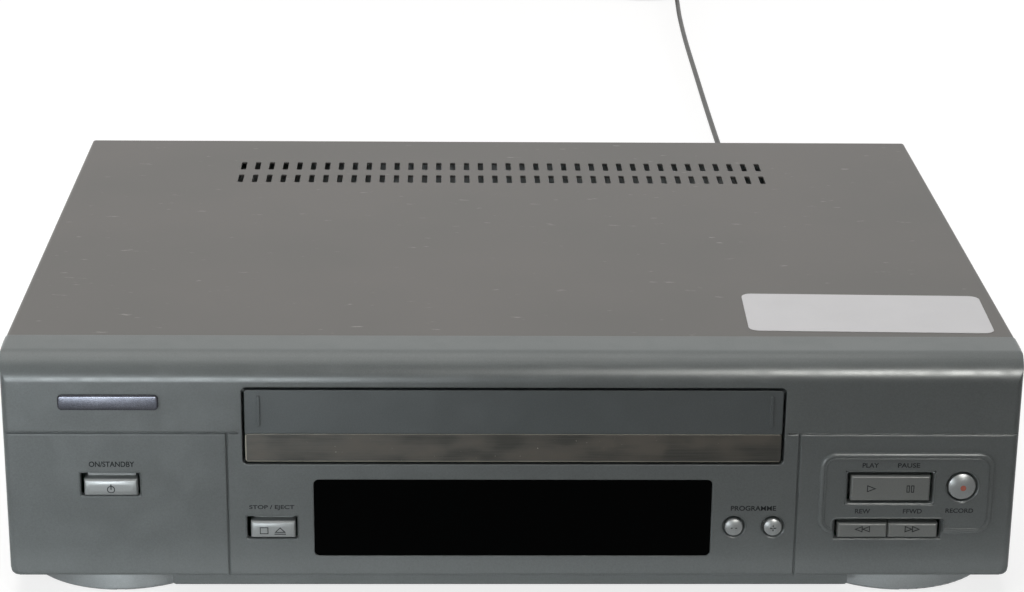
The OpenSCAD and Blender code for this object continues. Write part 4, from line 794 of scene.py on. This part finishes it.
def signs(name, cap, body, shapes=(), filled=(), finish=ink):
    """Thin outlined and filled signs, printed on a cap: each point lies on the cap's surface"""
    mesh = bmesh.new()
    for corners in shapes:
        outline(mesh, corners, 0, LINE_WIDTH, LINE_HEIGHT)
    for corners in filled:
        pull(mesh, [flat_face(mesh, corners, 0)], -FILL_HEIGHT)
    surface = BVHTree.FromPolygons([v.co for v in cap.data.vertices],
                                   [p.vertices for p in cap.data.polygons])
    for vert in mesh.verts:
        hit = surface.ray_cast(at(vert.co.x, -50, vert.co.z), Vector((0, 1, 0)))[0]
        vert.co.y += (hit.y - face_y) * 1000
    bmesh.ops.recalc_face_normals(mesh, faces=mesh.faces)
    make_piece(name, mesh, finish, body)


signs("power_sign", power_cap, "power_key", [rounded(-152.4, -149.4, 42.5, 45.5, 1.49)],
      [oblong(-151.1, -150.7, 44, 46.1)])
signs("stop_sign", stop_cap, "stop_key", [oblong(-95.5, -92.3, 25.7, 28.5),
                                          [(-90, 26.3), (-87.85, 28.5), (-85.7, 26.3)]],
      [oblong(-90, -85.7, 25.5, 25.85)])
signs("play_sign", play_cap, "play_key", [arrow(133.9, 137.4, 43.3, 46.2),
                                          oblong(148.9, 150.1, 43.2, 46.1),
                                          oblong(150.6, 151.8, 43.2, 46.1)])
signs("rewind_sign", rewind_cap, "rewind_key", [arrow(133.1, 130, 26.7, 29.3),
                                                arrow(135.9, 132.8, 26.7, 29.3)])
signs("forward_sign", forward_cap, "forward_key", [arrow(149.2, 152.3, 26.7, 29.3),
                                                   arrow(152, 155.1, 26.7, 29.3)])
signs("record_sign", record_cap, "record_key", [],
      [rounded(169.25, 171.45, 44, 46.2, 1.09)], red_ink)
signs("programme_down_sign", down_cap, "programme_down_key", [],
      [oblong(82.9, 85.3, 28.15, 28.5)])
signs("programme_up_sign", up_cap, "programme_up_key", [],
      [oblong(97.8, 98.83, 28.15, 28.5), oblong(99.17, 100.2, 28.15, 28.5),
       oblong(98.83, 99.17, 27.1, 29.5)])

# Cover
# One steel sheet folded down at both sides, under a warm grey textured paint with small scuffs.
# Black-oxide screws hold it and the back panel.
cover_paint, tree, shader, place = start_finish("textured_grey_paint", "#777573", 0.5,
                                                Specular_IOR_Level=0.15)
drift = add(tree, "TexNoise", {"Vector": place, "Scale": 1 / 90, "Detail": 3.0})
drift = add(tree, "MapRange", {"Value": drift, "From Min": 0.35, "From Max": 0.65})
tone = add(tree, "Mix", {0: drift, 6: "#777573", 7: "#737270"}, data_type="RGBA")
orange_peel = add(tree, "TexNoise", {"Vector": place, "Scale": 1 / 0.9, "Detail": 2.0})
scuff = add(tree, "Mapping", {"Vector": place, "Scale": (1 / 9, 1 / 2.4, 1 / 9),
                              "Rotation": (0, 0, 0.6)})
scuff = add(tree, "TexNoise", {"Vector": scuff, "Scale": 1.0, "Detail": 6.0})
scuff = add(tree, "MapRange", {"Value": scuff, "From Min": 0.69, "From Max": 0.75})
tone = add(tree, "Mix", {0: scuff, 6: tone, 7: "#9b9a97"}, data_type="RGBA")
feed(tree, shader, {"Base Color": tone})
roughen(tree, shader, orange_peel, 0.03, 0.6, 0.5)
dress(cover_paint, "top_cover")
black_oxide = metal("black_oxide_steel", "#2c2c2e", "#38383a", 0.42, 2)
dress(black_oxide, "screws")

# Sticker
# A bare white paper label, stuck a little askew on the cover, with rounded corners.
STICKER = (-47.1, 47.1, -21.1, 21.1, 4)
STICKER_AT = (138.3, 50.9, 96.2)
THICK = 0.12
ASKEW = -1.5
label_paper = moulded("white_label_paper", "#dcdcdf", "#d8d8db", 0.45, 0.7)
sticker = bmesh.new()
pull(sticker, [flat_face(sticker, rounded(*STICKER), 0)], -THICK)
bmesh.ops.recalc_face_normals(sticker, faces=sticker.faces)
bmesh.ops.rotate(sticker, verts=sticker.verts, cent=(0, 0, 0),
                 matrix=Matrix.Rotation(math.radians(-90), 3, "X"))
bmesh.ops.rotate(sticker, verts=sticker.verts, cent=(0, 0, 0),
                 matrix=Matrix.Rotation(math.radians(ASKEW), 3, "Z"))
bmesh.ops.translate(sticker, verts=sticker.verts, vec=STICKER_AT)
make_piece("paper_sticker", sticker, label_paper, "case")
